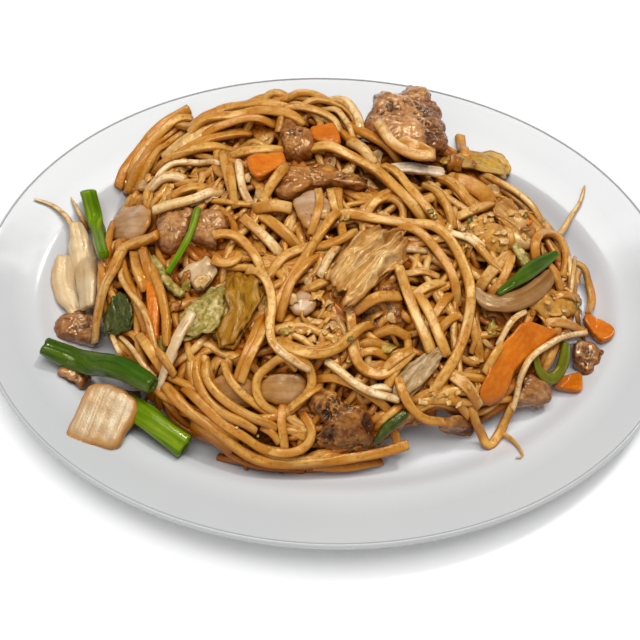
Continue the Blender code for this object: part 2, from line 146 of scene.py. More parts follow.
# ------------------------------------------------------------------------------ plate
# One piece of white glazed stoneware, 12 x 9 inches, pressed in a mould and dipped in glaze. Its
# gently sloping rim keeps one width all round, and a round wall drops from it to a flat well.
PLATE_HALF_LENGTH = 152.5
PLATE_HALF_WIDTH = 114.0
PLATE_HEIGHT = 22.0
RIM_SLOPE_IN = 23.0
RIM_INNER_HEIGHT = 15.2
WELL_EDGE_IN = 38.0
WELL_HEIGHT = 5.0
WELL_MIDDLE_HEIGHT = 4.0
FOOT_OUTER_IN = 44.0
FOOT_INNER_IN = 49.0
FOOT_RECESS = 1.2
RIM_THICKNESS = 4.2
EDGE_ROUND = 1.5
MIDDLE_IN = 79.0
PLATE_SPOKES = 160


def closed_rings(name, stacks, **values):
    """A mesh of stacks of rings, each (ring, spoke, xyz) in mm. The rings of a stack are joined in order,
    and a point at the middle of its first and of its last ring closes each end. values are lists with an
    array for each stack, of numbers or directions kept at its points."""
    points, quads, caps, start = [], [], [], 0
    for rings in stacks:
        count, spokes, _ = rings.shape
        ring = start + np.arange(count - 1)[:, None] * spokes
        here = np.arange(spokes)
        there = (here + 1) % spokes
        last = start + (count - 1) * spokes
        pole = here * 0 + start + count * spokes
        points += [rings.reshape(-1, 3), rings[:1].mean(axis=1), rings[-1:].mean(axis=1)]
        quads.append(np.stack([ring + here, ring + there, ring + spokes + there, ring + spokes + here],
                              axis=-1).reshape(-1, 4))
        caps.append(np.stack([pole, start + there, start + here], axis=-1))
        caps.append(np.stack([pole + 1, last + here, last + there], axis=-1))
        start += count * spokes + 2
    piece = mesh_piece(name, np.concatenate(points), np.concatenate(quads), np.concatenate(caps))
    for key, arrays in values.items():
        keep_values(piece, key, np.concatenate([part for array in arrays for part in (
            array.reshape(-1, *array.shape[2:]), array[:1].mean(axis=1), array[-1:].mean(axis=1))]))
    return piece


def mesh_piece(name, points, quads, triangles):
    """A smooth mesh object from points in mm, four-sided faces and three-sided faces."""
    mesh = bpy.data.meshes.new(name)
    corners = np.concatenate([quads.ravel(), triangles.ravel()])
    starts = np.concatenate([np.arange(len(quads)) * 4, len(quads) * 4 + np.arange(len(triangles)) * 3])
    mesh.vertices.add(len(points))
    mesh.vertices.foreach_set("co", (points * MM).ravel())
    mesh.loops.add(len(corners))
    mesh.loops.foreach_set("vertex_index", corners)
    mesh.polygons.add(len(starts))
    mesh.polygons.foreach_set("loop_start", starts)
    mesh.update(calc_edges=True)
    mesh.validate()
    mesh.shade_smooth()
    piece = bpy.data.objects.new(name, mesh)
    bpy.context.scene.collection.objects.link(piece)
    return piece


def keep_values(piece, key, values):
    """Numbers or directions kept at a piece's points under a key, for its material to read."""
    kind, field = ("FLOAT", "value") if values.ndim == 1 else ("FLOAT_VECTOR", "vector")
    layer = piece.data.attributes.new(key, kind, "POINT")
    layer.data.foreach_set(field, values.astype(np.float32).ravel())


def smooth_row(values, reach):
    """A row of numbers blurred by a bell curve that reaches over so many of its places."""
    steps = max(1, int(round(reach * 2.5)))
    bell = np.exp(-0.5 * (np.arange(-steps, steps + 1) / reach) ** 2)
    padded = np.concatenate([np.full(steps, values[0]), values, np.full(steps, values[-1])])
    return np.convolve(padded, bell / bell.sum(), mode="valid")


def plate_top(inset):
    """Height of the plate's upper side, so far in from its edge: rim slope, wall as t*t*(3-2t), well."""
    t = np.clip((inset - RIM_SLOPE_IN) / (WELL_EDGE_IN - RIM_SLOPE_IN), 0.0, 1.0)
    wall = RIM_INNER_HEIGHT + (WELL_HEIGHT - RIM_INNER_HEIGHT) * t * t * (3.0 - 2.0 * t)
    rim = np.interp(inset, [EDGE_ROUND, RIM_SLOPE_IN], [PLATE_HEIGHT, RIM_INNER_HEIGHT])
    well = np.interp(inset, [WELL_EDGE_IN, MIDDLE_IN + 1.0], [WELL_HEIGHT, WELL_MIDDLE_HEIGHT])
    return np.where(inset < RIM_SLOPE_IN, rim, np.where(inset < WELL_EDGE_IN, wall, well))


upper_in = np.linspace(MIDDLE_IN, EDGE_ROUND, 90)
upper_height = smooth_row(plate_top(upper_in), 1.6)
lip_turn = np.linspace(math.radians(80), math.radians(-80), 9)
lip_radius = RIM_THICKNESS / 2
lip_in = lip_radius - lip_radius * np.cos(lip_turn)
lip_height = PLATE_HEIGHT - lip_radius + lip_radius * np.sin(lip_turn)
under_in = np.array([RIM_SLOPE_IN - 1, 32, WELL_EDGE_IN, FOOT_OUTER_IN - 0.4, FOOT_OUTER_IN + 0.4,
                     FOOT_INNER_IN - FOOT_RECESS, FOOT_INNER_IN - 0.6, FOOT_INNER_IN + 0.5, MIDDLE_IN])
under_height = np.array([RIM_INNER_HEIGHT - RIM_THICKNESS - 1, 5.6, WELL_HEIGHT - RIM_THICKNESS + 0.8,
                         0.1, 0.0, 0.0, 0.3, FOOT_RECESS, FOOT_RECESS])
inset = np.concatenate([upper_in, lip_in, under_in])[::-1]
height = np.concatenate([upper_height, lip_height, under_height])[::-1]
turn = np.linspace(0.0, 2.0 * math.pi, PLATE_SPOKES, endpoint=False)
plate_rings = np.stack([(PLATE_HALF_LENGTH - inset)[:, None] * np.cos(turn),
                        (PLATE_HALF_WIDTH - inset)[:, None] * np.sin(turn),
                        np.repeat(height[:, None], len(turn), axis=1)], axis=-1)
plate = closed_rings("glazed_plate", [plate_rings])


def add_node(tree, kind, **settings):
    """A shader node with its settings, and with its unlinked inputs given by name or number."""
    node = tree.nodes.new(kind)
    for key, value in settings.pop("inputs", {}).items():
        node.inputs[key].default_value = value
    for key, value in settings.items():
        setattr(node, key, value)
    return node


def add_noise(tree, place, scale, detail=3.0, roughness=0.5):
    """Smooth noise of 0 to 1 over places in metres."""
    noise = add_node(tree, "ShaderNodeTexNoise", inputs={"Scale": scale, "Detail": detail,
                                                         "Roughness": roughness})
    tree.links.new(place, noise.inputs["Vector"])
    return noise.outputs["Fac"]


def add_ramp(tree, value, low, high, from_value=0.0, to_value=1.0):
    """A number carried from low..high to from_value..to_value, and held at the ends."""
    ramp = add_node(tree, "ShaderNodeMapRange", inputs={"From Min": low, "From Max": high,
                                                        "To Min": from_value, "To Max": to_value})
    tree.links.new(value, ramp.inputs["Value"])
    return ramp.outputs["Result"]


def add_mix(tree, share, first, second):
    """Two colours mixed by a share of 0 to 1. Each colour is a tuple or another node's output."""
    mix = add_node(tree, "ShaderNodeMix", data_type="RGBA")
    for socket, value in ((mix.inputs["Factor"], share), (mix.inputs["A"], first),
                          (mix.inputs["B"], second)):
        if isinstance(value, (tuple, float)):
            socket.default_value = (*value, 1.0) if isinstance(value, tuple) else value
        else:
            tree.links.new(value, socket)
    return mix.outputs["Result"]


def add_bump(tree, height, distance, shader):
    """Fine relief on a shader, from heights of 0 to 1 that stand for a distance in metres."""
    bump = add_node(tree, "ShaderNodeBump", inputs={"Strength": 1.0, "Distance": distance})
    tree.links.new(height, bump.inputs["Height"])
    tree.links.new(bump.outputs["Normal"], shader.inputs["Normal"])


glaze, tree, shader = new_material("white_glaze")
place = add_node(tree, "ShaderNodeTexCoord").outputs["Object"]
cloud = add_ramp(tree, add_noise(tree, place, 14.0, 2.0), 0.35, 0.65, 0.0, 0.25)
apart = add_node(tree, "ShaderNodeSeparateXYZ")
tree.links.new(place, apart.inputs[0])
# Painted fill light: from 18 mm high down to 8 mm the glaze is painted lighter, over the lower wall and the
# well, standing in for the light that the heap's shade takes from them.
painted_fill_light = add_ramp(tree, apart.outputs["Z"], 0.018, 0.008)
thin = add_mix(tree, cloud, (0.43, 0.44, 0.44), (0.50, 0.49, 0.49))
tree.links.new(add_mix(tree, painted_fill_light, thin, (0.63, 0.63, 0.64)), shader.inputs["Base Color"])
tree.links.new(add_ramp(tree, add_noise(tree, place, 60.0), 0.3, 0.7, 0.10, 0.20),
               shader.inputs["Roughness"])
add_bump(tree, add_noise(tree, place, 45.0, 1.0), 0.00012, shader)
shader.inputs["IOR"].default_value = 1.5
plate.data.materials.append(glaze)
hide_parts("plate")
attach(plate, "root")


# ------------------------------------------------------------------------------ core of the heap
# The imported inside of the noodle heap, which shows only in the gaps between strands. It is painted a
# dark red-brown: painted shade for the deep inside of the heap. It stands on the plate as a steep-sided
# oval mound, and the loose noodles are laid over it.
HEAP_CENTRE_Y = 9.5
HEAP_HALF_LENGTH = 113.0
HEAP_HALF_WIDTH = 89.0
HEAP_LOBE = 0.054
HEAP_LOBE_TURN = math.radians(-7)
HEAP_RISE = 42.0


def plate_height(x, y):
    """Height of the plate's upper side: the inset of the oval through a point, found by halving."""
    near = np.full(np.shape(x), -10.0)
    far = np.full(np.shape(x), PLATE_HALF_WIDTH - 1.0)
    for _ in range(24):
        middle = 0.5 * (near + far)
        outside = (x / (PLATE_HALF_LENGTH - middle)) ** 2 + (y / (PLATE_HALF_WIDTH - middle)) ** 2 > 1.0
        far = np.where(outside, middle, far)
        near = np.where(outside, near, middle)
    return plate_top(near)


def heap_spread(x, y):
    """0 at the heap's middle and 1 at its foot, which is an oval with three soft lobes."""
    turn = np.arctan2(y - HEAP_CENTRE_Y, x)
    oval = 1.0 / np.sqrt((np.cos(turn) / HEAP_HALF_LENGTH) ** 2 + (np.sin(turn) / HEAP_HALF_WIDTH) ** 2)
    reach = oval * (1.0 + HEAP_LOBE * np.cos(3.0 * (turn - HEAP_LOBE_TURN)))
    return np.hypot(x, y - HEAP_CENTRE_Y) / reach


def heap_height(x, y):
    """Top of the heap: (1 - spread^2.6)^0.6 over the plate, with humps, ripples and curling ridges."""
    turn = np.arctan2(y - HEAP_CENTRE_Y, x)
    spread = heap_spread(x, y)
    mound = np.clip(1.0 - spread ** 2.6, 0.0, 1.0)
    uneven = (2.0 * np.sin(x / 17 + 1.0) * np.sin(y / 13 + 2.0) + 1.5 * np.sin((x + y) / 9)
              + 1.3 * np.sin(13.0 * spread + 3.0 * turn))
    return plate_height(x, y) + HEAP_RISE * mound ** 0.6 + uneven * np.sqrt(mound)


class Map:
    """Heights on a square grid over the plate, in mm, blended between the four points round a place."""
    CELL = 0.8
    HALF = (164.0, 124.0)

    def __init__(self, height_at):
        x = np.arange(-self.HALF[0], self.HALF[0] + self.CELL, self.CELL)
        y = np.arange(-self.HALF[1], self.HALF[1] + self.CELL, self.CELL)
        self.x, self.y = np.meshgrid(x, y, indexing="ij")
        self.height = height_at(self.x, self.y)

    def cell(self, x, y):
        """Where a place lies on the grid, in cells."""
        i = np.clip((x + self.HALF[0]) / self.CELL, 0, self.height.shape[0] - 1.001)
        j = np.clip((y + self.HALF[1]) / self.CELL, 0, self.height.shape[1] - 1.001)
        return i, j

    def at(self, x, y):
        """The height at each place."""
        i, j = self.cell(x, y)
        a, b = i.astype(int), j.astype(int)
        s, t = i - a, j - b
        grid = self.height
        return ((1 - s) * (1 - t) * grid[a, b] + s * (1 - t) * grid[a + 1, b]
                + (1 - s) * t * grid[a, b + 1] + s * t * grid[a + 1, b + 1])

    def change(self, x, y, z, better):
        """Put heights at the nearest grid points, where better(there, z) chooses between old and new."""
        i, j = self.cell(x, y)
        better.at(self.height, (np.round(i).astype(int), np.round(j).astype(int)), z)


CORE_DEPTH = 9.0
CORE_FULL_RISE = 16.0
CORE_SPOKES = 180
CORE_SHARE = 0.94
CORE_LUMPS = 0.8
NO_CEILING = 60.0
plate_map = Map(plate_height)
food_map = Map(heap_height)


def core_height(x, y):
    """The heap's dark inside: so far under its top, and run down into the plate near its foot."""
    plate = plate_map.at(x, y)
    rise = food_map.at(x, y) - plate
    share = np.clip(rise / CORE_FULL_RISE, 0.0, 1.0)
    return plate - 1.0 + np.maximum(rise - CORE_DEPTH + 1.0, 0.0) * share


# The bed is how high the food has been laid so far, so that each strand rests on what is under it. The
# ceiling is how high it may come.
bed = Map(lambda x, y: np.maximum(core_height(x, y), plate_map.height))
ceiling = Map(lambda x, y: food_map.height + NO_CEILING)


def on_food(pixels, lift=0.0):
    """The points where sight lines through pixels first meet the food, raised by a lift, in mm."""
    heights = np.arange(75.0, 3.0, -0.5)
    line = sight_line(np.asarray(pixels, float)[:, None, :], heights[None, :])
    top = food_map.at(line[..., 0], line[..., 1]) + lift
    first = np.argmax(heights[None, :] <= top, axis=1)
    return line[np.arange(len(line)), first]


# How far out loose noodles lie, by direction in degrees. Between these gaps the bare plate shows.
FOOT_TURNS = (-180, -161, -146, -137, -124, -108, -84, -64, -53, -44, -28, -18, -8, 4, 14, 24, 34, 43, 56,
              72, 81, 92, 120, 150, 168)
FOOT_SPREADS = (0.92, 0.91, 0.86, 0.88, 0.95, 0.98, 0.98, 0.88, 0.85, 0.93, 0.93, 0.90, 0.90, 0.90, 0.88,
                0.86, 0.82, 0.92, 0.88, 0.78, 0.80, 0.94, 0.98, 0.98, 0.93)


def held_in(x, y, softness):
    """Points drawn in towards the heap's middle, so that none lies further out than its foot there. Over
    the last share, the softness, they are pressed together as tanh."""
    turn = np.degrees(np.arctan2(y, x))
    limit = np.interp(turn, FOOT_TURNS, FOOT_SPREADS, period=360) - softness
    spread = heap_spread(x, y + HEAP_CENTRE_Y)
    held = np.where(spread < limit, spread, limit + softness * np.tanh((spread - limit) / softness))
    shrink = held / np.maximum(spread, 1e-6)
    return np.stack([x * shrink, y * shrink + HEAP_CENTRE_Y], axis=1)


def value_noise(points, cell, seed):
    """Smooth noise of -1..1: random values at the corners of cubes a cell wide, blended along each
    axis by t*t*(3-2t)."""
    table = np.random.default_rng(seed).uniform(-1.0, 1.0, (24, 24, 24))
    place = points / cell
    base = np.floor(place).astype(int)
    t = place - base
    t = t * t * (3.0 - 2.0 * t)
    total = 0.0
    for corner in np.ndindex(2, 2, 2):
        weight = np.prod(np.where(np.array(corner) == 1, t, 1.0 - t), axis=-1)
        i = (base + corner) % 24
        total = total + weight * table[i[..., 0], i[..., 1], i[..., 2]]
    return total


turn = np.linspace(0.0, 2.0 * math.pi, CORE_SPOKES, endpoint=False)
steps = np.linspace(1.0, 0.03, 60) ** 0.8
oval_x = HEAP_HALF_LENGTH * np.cos(turn)
oval_y = HEAP_HALF_WIDTH * np.sin(turn)
foot = held_in(oval_x, oval_y, 0.06) - (0.0, HEAP_CENTRE_Y)
x = steps[:, None] * foot[:, 0] * CORE_SHARE
y = steps[:, None] * foot[:, 1] * CORE_SHARE + HEAP_CENTRE_Y
level = np.stack([x, y, 0 * x], axis=-1)
lump = value_noise(level, 4.0, 5) + 0.5 * value_noise(level, 2.0, 6)
z = core_height(x, y) + lump * CORE_LUMPS
under_x, under_y = x[0] * 0.9, y[0] * 0.9
underside = np.stack([under_x, under_y, plate_map.at(under_x, under_y) + 0.1], axis=-1)
core = closed_rings("heap_core", [np.concatenate([underside[None], np.stack([x, y, z], axis=-1)])])

core_paint, tree, shader = new_material("painted_shade_core")
place = add_node(tree, "ShaderNodeTexCoord").outputs["Object"]
# Painted shade: the core's dark red-brown stands for the shade deep inside the heap.
patches = add_ramp(tree, add_noise(tree, place, 220.0, 3.0), 0.35, 0.65)
tree.links.new(add_mix(tree, patches, (0.14, 0.040, 0.002), (0.26, 0.090, 0.007)),
               shader.inputs["Base Color"])
shader.inputs["Roughness"].default_value = 0.55
shader.inputs["Specular IOR Level"].default_value = 0.2
add_bump(tree, add_noise(tree, place, 500.0, 3.0), 0.0008, shader)
core.data.materials.append(core_paint)
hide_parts("noodle_heap")
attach(core, "root")


# ------------------------------------------------------------------------------ onion
# Petals of onion cooked until glassy, pinkish white, with fine ribs along them, bedded in the noodles. As
# on all of the food, a thin brown sauce with oil in it coats them. It gathers in patches, leaves other
# places nearly clean, and shines more where it lies thick.
OILY = (1.0, 0.86, 0.58, 1.0)
SAUCE = bpy.data.node_groups.new("sauce", "ShaderNodeTree")
for key in ("Place", "Grain"):
    SAUCE.interface.new_socket(key, in_out="INPUT", socket_type="NodeSocketVector")
for key in ("Stain", "Fleck", "Streak", "Gloss", "Height"):
    SAUCE.interface.new_socket(key, in_out="OUTPUT", socket_type="NodeSocketFloat")
given = SAUCE.nodes.new("NodeGroupInput").outputs
made = SAUCE.nodes.new("NodeGroupOutput").inputs
for output, follows, scale, detail, roughness, ramp in (
        ("Stain", "Place", 75.0, 3.0, 0.6, (0.36, 0.66)),
        ("Fleck", "Place", 480.0, 3.0, 0.6, (0.40, 0.70)),
        ("Streak", "Grain", 520.0, 2.0, 0.5, (0.36, 0.66)),
        ("Gloss", "Place", 160.0, 3.0, 0.5, (0.38, 0.60, 0.07, 0.27))):
    noise = add_noise(SAUCE, given[follows], scale, detail, roughness)
    SAUCE.links.new(add_ramp(SAUCE, noise, *ramp), made[output])
ripple = add_node(SAUCE, "ShaderNodeMath", operation="MULTIPLY_ADD", inputs={1: 0.4})
SAUCE.links.new(add_noise(SAUCE, given["Place"], 1200.0, 2.0), ripple.inputs[0])
SAUCE.links.new(add_noise(SAUCE, given["Grain"], 650.0, 3.0, 0.6), ripple.inputs[2])
SAUCE.links.new(ripple.outputs[0], made["Height"])


def kept(tree, key, kind="Fac"):
    """What is kept under a key at a piece's points."""
    return add_node(tree, "ShaderNodeAttribute", attribute_name=key).outputs[kind]


def new_sauced(name, stretch, shine):
    """A material under an oily film, its node tree and shader, and the sauce on it, which follows the
    piece's own coordinates, stretched."""
    material, tree, shader = new_material(name)
    drawn = add_node(tree, "ShaderNodeVectorMath", operation="MULTIPLY", inputs={1: stretch})
    tree.links.new(kept(tree, "grain", "Vector"), drawn.inputs[0])
    sauce = add_node(tree, "ShaderNodeGroup", node_tree=SAUCE)
    tree.links.new(add_node(tree, "ShaderNodeTexCoord").outputs["Object"], sauce.inputs["Place"])
    tree.links.new(drawn.outputs["Vector"], sauce.inputs["Grain"])
    shader.inputs["Specular IOR Level"].default_value = shine
    shader.inputs["Specular Tint"].default_value = OILY
    return material, tree, shader, sauce.outputs


def layered(tree, colour, *layers):
    """A colour with others laid over it in turn. Each has what it follows, the values of that where it
    begins and where it is full, its share where it is full, and its colour."""
    for follows, begins, full, share, over in layers:
        colour = add_mix(tree, add_ramp(tree, follows, begins, full, 0, share), colour, over)
    return colour


def food_paint(name, clean, browned, dark, pale, long_grain=0.12, streaks=0.5, stained=0.7, rim=0.6,
               flecks=0.35, rough=0.0, bump=0.00018, shine=0.28, fineness=1.0):
    """Sauced food: its clean colour streaked along its grain with a pale one, stained brown in patches
    and towards its rim, and specked dark. Its clefts are painted dark as well: painted shade. The shares
    are how strongly each shows."""
    stretch = (long_grain * fineness, fineness, fineness)
    material, tree, shader, sauce = new_sauced(name, stretch, shine)
    colour = layered(tree, clean,
                     (sauce["Streak"], 0, 1, streaks, pale),
                     (sauce["Stain"], 0, 1, stained, browned),
                     (kept(tree, "rim"), 0.72, 0.98, rim, browned),
                     (sauce["Fleck"], 0, 1, flecks, dark),
                     # painted shade: the clefts darker, as hollow as the relief makes them
                     (kept(tree, "hollow"), 0.1, 0.9, 0.9, dark))
    tree.links.new(colour, shader.inputs["Base Color"])
    tree.links.new(add_ramp(tree, sauce["Gloss"], 0, 1, rough, 1 + rough), shader.inputs["Roughness"])
    add_bump(tree, sauce["Height"], bump, shader)
    return material


# What is bedded in the noodles is either a slab, cut or torn from something larger, or a stalk. Each
# lies on the slope of the food under it, and its top is noted in a lid, under which the noodles stay.
NO_LID = -50.0
buried_lid = Map(lambda x, y: 0 * x + NO_LID)
lid = Map(lambda x, y: 0 * x + NO_LID)


def seed_of(name):
    """A piece's own seed, from the letters of its name."""
    return sum(map(ord, name))


def lift_off_plate(points, gap):
    """Points raised where they would lie less than a gap over the plate."""
    points[..., 2] = np.maximum(points[..., 2], plate_map.at(points[..., 0], points[..., 1]) + gap)


def smooth_route(route, step):
    """Points a step apart on the Catmull-Rom curve through a route's own points."""
    route = np.asarray(route, float)
    knots = np.vstack([2 * route[0] - route[1], route, 2 * route[-1] - route[-2]])
    t = np.linspace(0.0, 1.0, 24, endpoint=False)[:, None]
    fine = [0.5 * (2 * b + (c - a) * t + (2 * a - 5 * b + 4 * c - d) * t ** 2
                   + (3 * b - a - 3 * c + d) * t ** 3)
            for a, b, c, d in zip(knots, knots[1:], knots[2:], knots[3:])]
    fine = np.vstack(fine + [route[-1:]])
    run = np.concatenate([[0.0], np.cumsum(np.linalg.norm(np.diff(fine, axis=0), axis=1))])
    even = np.linspace(0.0, run[-1], max(6, int(round(run[-1] / step))))
    return np.stack([np.interp(even, run, fine[:, k]) for k in range(fine.shape[1])], axis=1)


def even_profile(half_width, half_thickness, flat, full, step):
    """(reach, height) up the side of a slab, from the middle of its underside to the middle of its top,
    where reach^flat + height^full = 1, at points a step apart."""
    turn = np.linspace(-math.pi / 2, math.pi / 2, 800)
    reach = np.abs(np.cos(turn)) ** (2.0 / flat)
    height = np.sign(turn) * (1.0 - reach ** flat) ** (1.0 / full)
    run = np.concatenate([[0], np.cumsum(np.hypot(np.diff(reach) * half_width,
                                                  np.diff(height) * half_thickness))])
    even = np.linspace(0.0, run[-1], max(12, int(run[-1] / step)))[1:-1]
    return np.interp(even, run, reach), np.interp(even, run, height)


def traced(outline, height_at, place, half_size, angle):
    """The middle of a piece whose outline shows in the picture, and its reach at any direction, in shares
    of its half length and width. Each corner's sight line is followed to the height of the piece there,
    near its top for the far corners and near its underside for the near ones."""
    pixels = np.array(outline, float)
    share = (pixels[:, 1] - pixels[:, 1].min()) / np.ptp(pixels[:, 1])
    corners = np.tile(np.array([*place, 0.0]), (len(pixels), 1))
    for _ in range(8):
        corners = sight_line(pixels, height_at(corners[:, 0], corners[:, 1], share))
    corners = np.vstack([corners, corners[:1]])[:, :2]
    along_edge = np.linspace(0, 1, 16, endpoint=False)[:, None]
    edge = np.vstack([a + (b - a) * along_edge for a, b in zip(corners, corners[1:])])
    wedges = np.cross(corners[:-1], corners[1:])
    middle = ((corners[:-1] + corners[1:]) * wedges[:, None]).sum(axis=0) / (3 * wedges.sum())
    ahead = np.array([math.cos(angle), math.sin(angle)])
    u = (edge - middle) @ ahead / half_size[0]
    v = (edge - middle) @ np.array([-ahead[1], ahead[0]]) / half_size[1]
    order = np.argsort(np.arctan2(v, u))
    return middle, lambda around: np.interp(around, np.arctan2(v, u)[order], np.hypot(u, v)[order],
                                            period=2 * math.pi)


def slab(name, place, size, turn, proud, outline, limp=0.3, slope=None, step=0.6, flat=4.5, full=2.2,
         ragged=0.0, arch=0.0, grow=1.0):
    """Rings of a slab lying on the food, with its own coordinates in mm and the reach of each ring. Its
    plan is an outline traced in the picture. proud is how far its top stands out of the heap. A stiff
    piece keeps the plane that touches the food under its middle, and a limp one follows every rise and
    dip. Its long sides bend down by an arch."""
    length, width, thickness = size
    angle = math.radians(turn)
    near = 6.0
    base = food_map.at(*place)
    rise_x, rise_y = slope or (
        (food_map.at(place[0] + near, place[1]) - food_map.at(place[0] - near, place[1])) / (2 * near),
        (food_map.at(place[0], place[1] + near) - food_map.at(place[0], place[1] - near)) / (2 * near))

    def lie(x, y):
        plane = base + rise_x * (x - place[0]) + rise_y * (y - place[1])
        return plane + limp * (food_map.at(x, y) - plane) + proud

    spokes = int(math.pi * (length + width) / 2 / step) // 2 * 2
    around = np.linspace(0.0, 2.0 * math.pi, spokes, endpoint=False)
    reach, height = even_profile((length + width) / 4, thickness / 2, flat, full, step)
    seed = seed_of(name) % 17
    circle = np.stack([np.cos(around), np.sin(around), 0 * around], axis=-1) * (length + width) / 4
    torn = value_noise(circle, 3.5, seed) + 0.6 * value_noise(circle, 1.7, seed + 1)
    middle, reach_at = traced(outline, lambda x, y, share: lie(x, y) - thickness * (0.2 + 0.6 * share),
                              place, (length / 2, width / 2), angle)
    plan = reach_at(around)
    for _ in range(3):
        plan = 0.5 * plan + 0.25 * (np.roll(plan, 1) + np.roll(plan, -1))
    out = reach[:, None] * plan * grow * (1.0 + ragged * torn)
    u = out * np.cos(around) * length / 2
    v = out * np.sin(around) * width / 2
    w = np.broadcast_to(height[:, None] * thickness / 2, u.shape)
    x = middle[0] + u * math.cos(angle) - v * math.sin(angle)
    y = middle[1] + u * math.sin(angle) + v * math.cos(angle)
    z = lie(x, y) - thickness / 2 + w - arch * (2 * v / width) ** 2
    points = np.stack([x, y, z], axis=-1)
    lift_off_plate(points, 0.15)
    return points, np.stack([u, v, w], axis=-1), reach[:, None] + 0 * u


def frame_along(path, bank):
    """Headings along a path, the direction beside it, tilted by a share of the food's slope, and up."""
    ahead = np.gradient(path, axis=0)
    ahead /= np.linalg.norm(ahead, axis=1)[:, None]
    side = np.stack([-ahead[:, 1], ahead[:, 0], 0 * ahead[:, 0]], axis=1)
    side /= np.linalg.norm(side, axis=1)[:, None]
    tilt = (food_map.at(path[:, 0] + 3 * side[:, 0], path[:, 1] + 3 * side[:, 1])
            - food_map.at(path[:, 0] - 3 * side[:, 0], path[:, 1] - 3 * side[:, 1])) / 6
    side[:, 2] = smooth_row(np.clip(tilt * bank, -0.9, 0.9), 3.0)
    side /= np.linalg.norm(side, axis=1)[:, None]
    up = np.cross(ahead, side)
    return ahead, side, up / np.linalg.norm(up, axis=1)[:, None]


def stalk(route, width, thickness, taper=1.0, power=2.4, step=0.6, bore=(0.0, 0.0), twist=0.0, bank=0.5,
          points=(1.0, 1.0)):
    """Rings of a stalk carried along a route of x, y and the height of its middle over the food, with its
    own coordinates in mm and how near each point is to its edge. Its section is |u|^power + |v|^power =
    1, it turns about itself by a twist in degrees, and it is bored out from each end to a given depth.
    points are its widths at its two ends as shares of the width between them."""
    knots = np.array(route, float)
    knots[:, 2] += food_map.at(knots[:, 0], knots[:, 1])
    fine = smooth_route(knots, 0.25)
    run = np.concatenate([[0.0], np.cumsum(np.linalg.norm(np.diff(fine, axis=0), axis=1))])
    tip = np.array([0.0, 0.15, 0.4, 0.8])
    count = max(6, int((run[-1] - 1.6) / step))
    at = np.concatenate([tip, np.linspace(0.8, run[-1] - 0.8, count)[1:-1], run[-1] - tip[::-1]])
    near_end = np.minimum(at, run[-1] - at)
    rounded = 1.0 - 0.3 * np.clip(1.0 - near_end / 0.8, 0.0, 1.0) ** 2
    for depth, first in ((bore[0], True), (bore[1], False)):
        if depth:
            inner = np.linspace(depth, 0.3, max(4, int(depth / step)))
            if first:
                at = np.concatenate([inner, at])
                rounded = np.concatenate([np.linspace(0.15, 0.72, len(inner)), rounded])
            else:
                at = np.concatenate([at, run[-1] - inner[::-1]])
                rounded = np.concatenate([rounded, np.linspace(0.72, 0.15, len(inner))])
    path = np.stack([np.interp(at, run, fine[:, k]) for k in range(3)], axis=1)
    ahead, side, up = [np.stack([np.interp(at, run, part[:, k]) for k in range(3)], axis=1)
                       for part in frame_along(fine, bank)]
    spokes = int(math.pi * (width + thickness) / 2 / step) // 2 * 2
    around = np.linspace(0.0, 2.0 * math.pi, spokes, endpoint=False)
    across = np.sign(np.cos(around)) * np.abs(np.cos(around)) ** (2.0 / power) * width / 2
    through = np.sign(np.sin(around)) * np.abs(np.sin(around)) ** (2.0 / power) * thickness / 2
    share = np.clip(at / run[-1], 0, 1)
    drawn_in = (1.0 - (1.0 - points[0]) * np.clip(1 - share / 0.45, 0, 1) ** 1.7
                - (1.0 - points[1]) * np.clip(1 - (1 - share) / 0.45, 0, 1) ** 1.7)
    narrowing = rounded * drawn_in * (1.0 + (taper - 1.0) * share)
    angle = math.radians(twist) * (at / run[-1] - 0.5)
    side, up = (side * np.cos(angle)[:, None] + up * np.sin(angle)[:, None],
                up * np.cos(angle)[:, None] - side * np.sin(angle)[:, None])
    u = np.broadcast_to(at[:, None], (len(at), spokes))
    v = narrowing[:, None] * across
    w = narrowing[:, None] * through
    place = path[:, None] + side[:, None] * v[..., None] + up[:, None] * w[..., None]
    lift_off_plate(place, 0.15)
    end = 1.0 - np.clip(np.minimum(at, run[-1] - at) / 2.0, 0.0, 1.0)
    return place, np.stack([u, v, w], axis=-1), np.maximum(np.abs(v) / (width / 2), end[:, None])


def outward(points):
    """Directions that face out of a stack of rings: spoke direction x ring direction."""
    along_ring = np.roll(points, -1, axis=1) - np.roll(points, 1, axis=1)
    normal = np.cross(along_ring, np.gradient(points, axis=0))
    return normal / (np.linalg.norm(normal, axis=-1)[..., None] + 1e-12)


def bedded(node, shapes, relief, paint, buried=False):
    """The finished piece for a node: the rings of its shapes moved outward by a relief, which gives
    heights and how hollow each point is from the piece's own coordinates, with its paint, which darkens
    the hollows as painted shade. Its top is noted in a lid."""
    stacks, grains, rims, hollows = [], [], [], []
    for number, (points, local, rim) in enumerate(shapes):
        height, hollow = relief(local, seed_of(node) + 31 * number)
        points = points + outward(points) * height[..., None]
        lift_off_plate(points, 0.1)
        stacks.append(points)
        grains.append(local * MM)
        rims.append(rim)
        hollows.append(np.clip(hollow, 0, 1))
        over = buried_lid if buried else lid
        over.change(points[..., 0].ravel(), points[..., 1].ravel(), points[..., 2].ravel(), np.maximum)
    piece = closed_rings(node + "_looks", stacks, grain=grains, rim=rims, hollow=hollows)
    piece.data.materials.append(paint)
    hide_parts(node)
    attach(piece, "root")


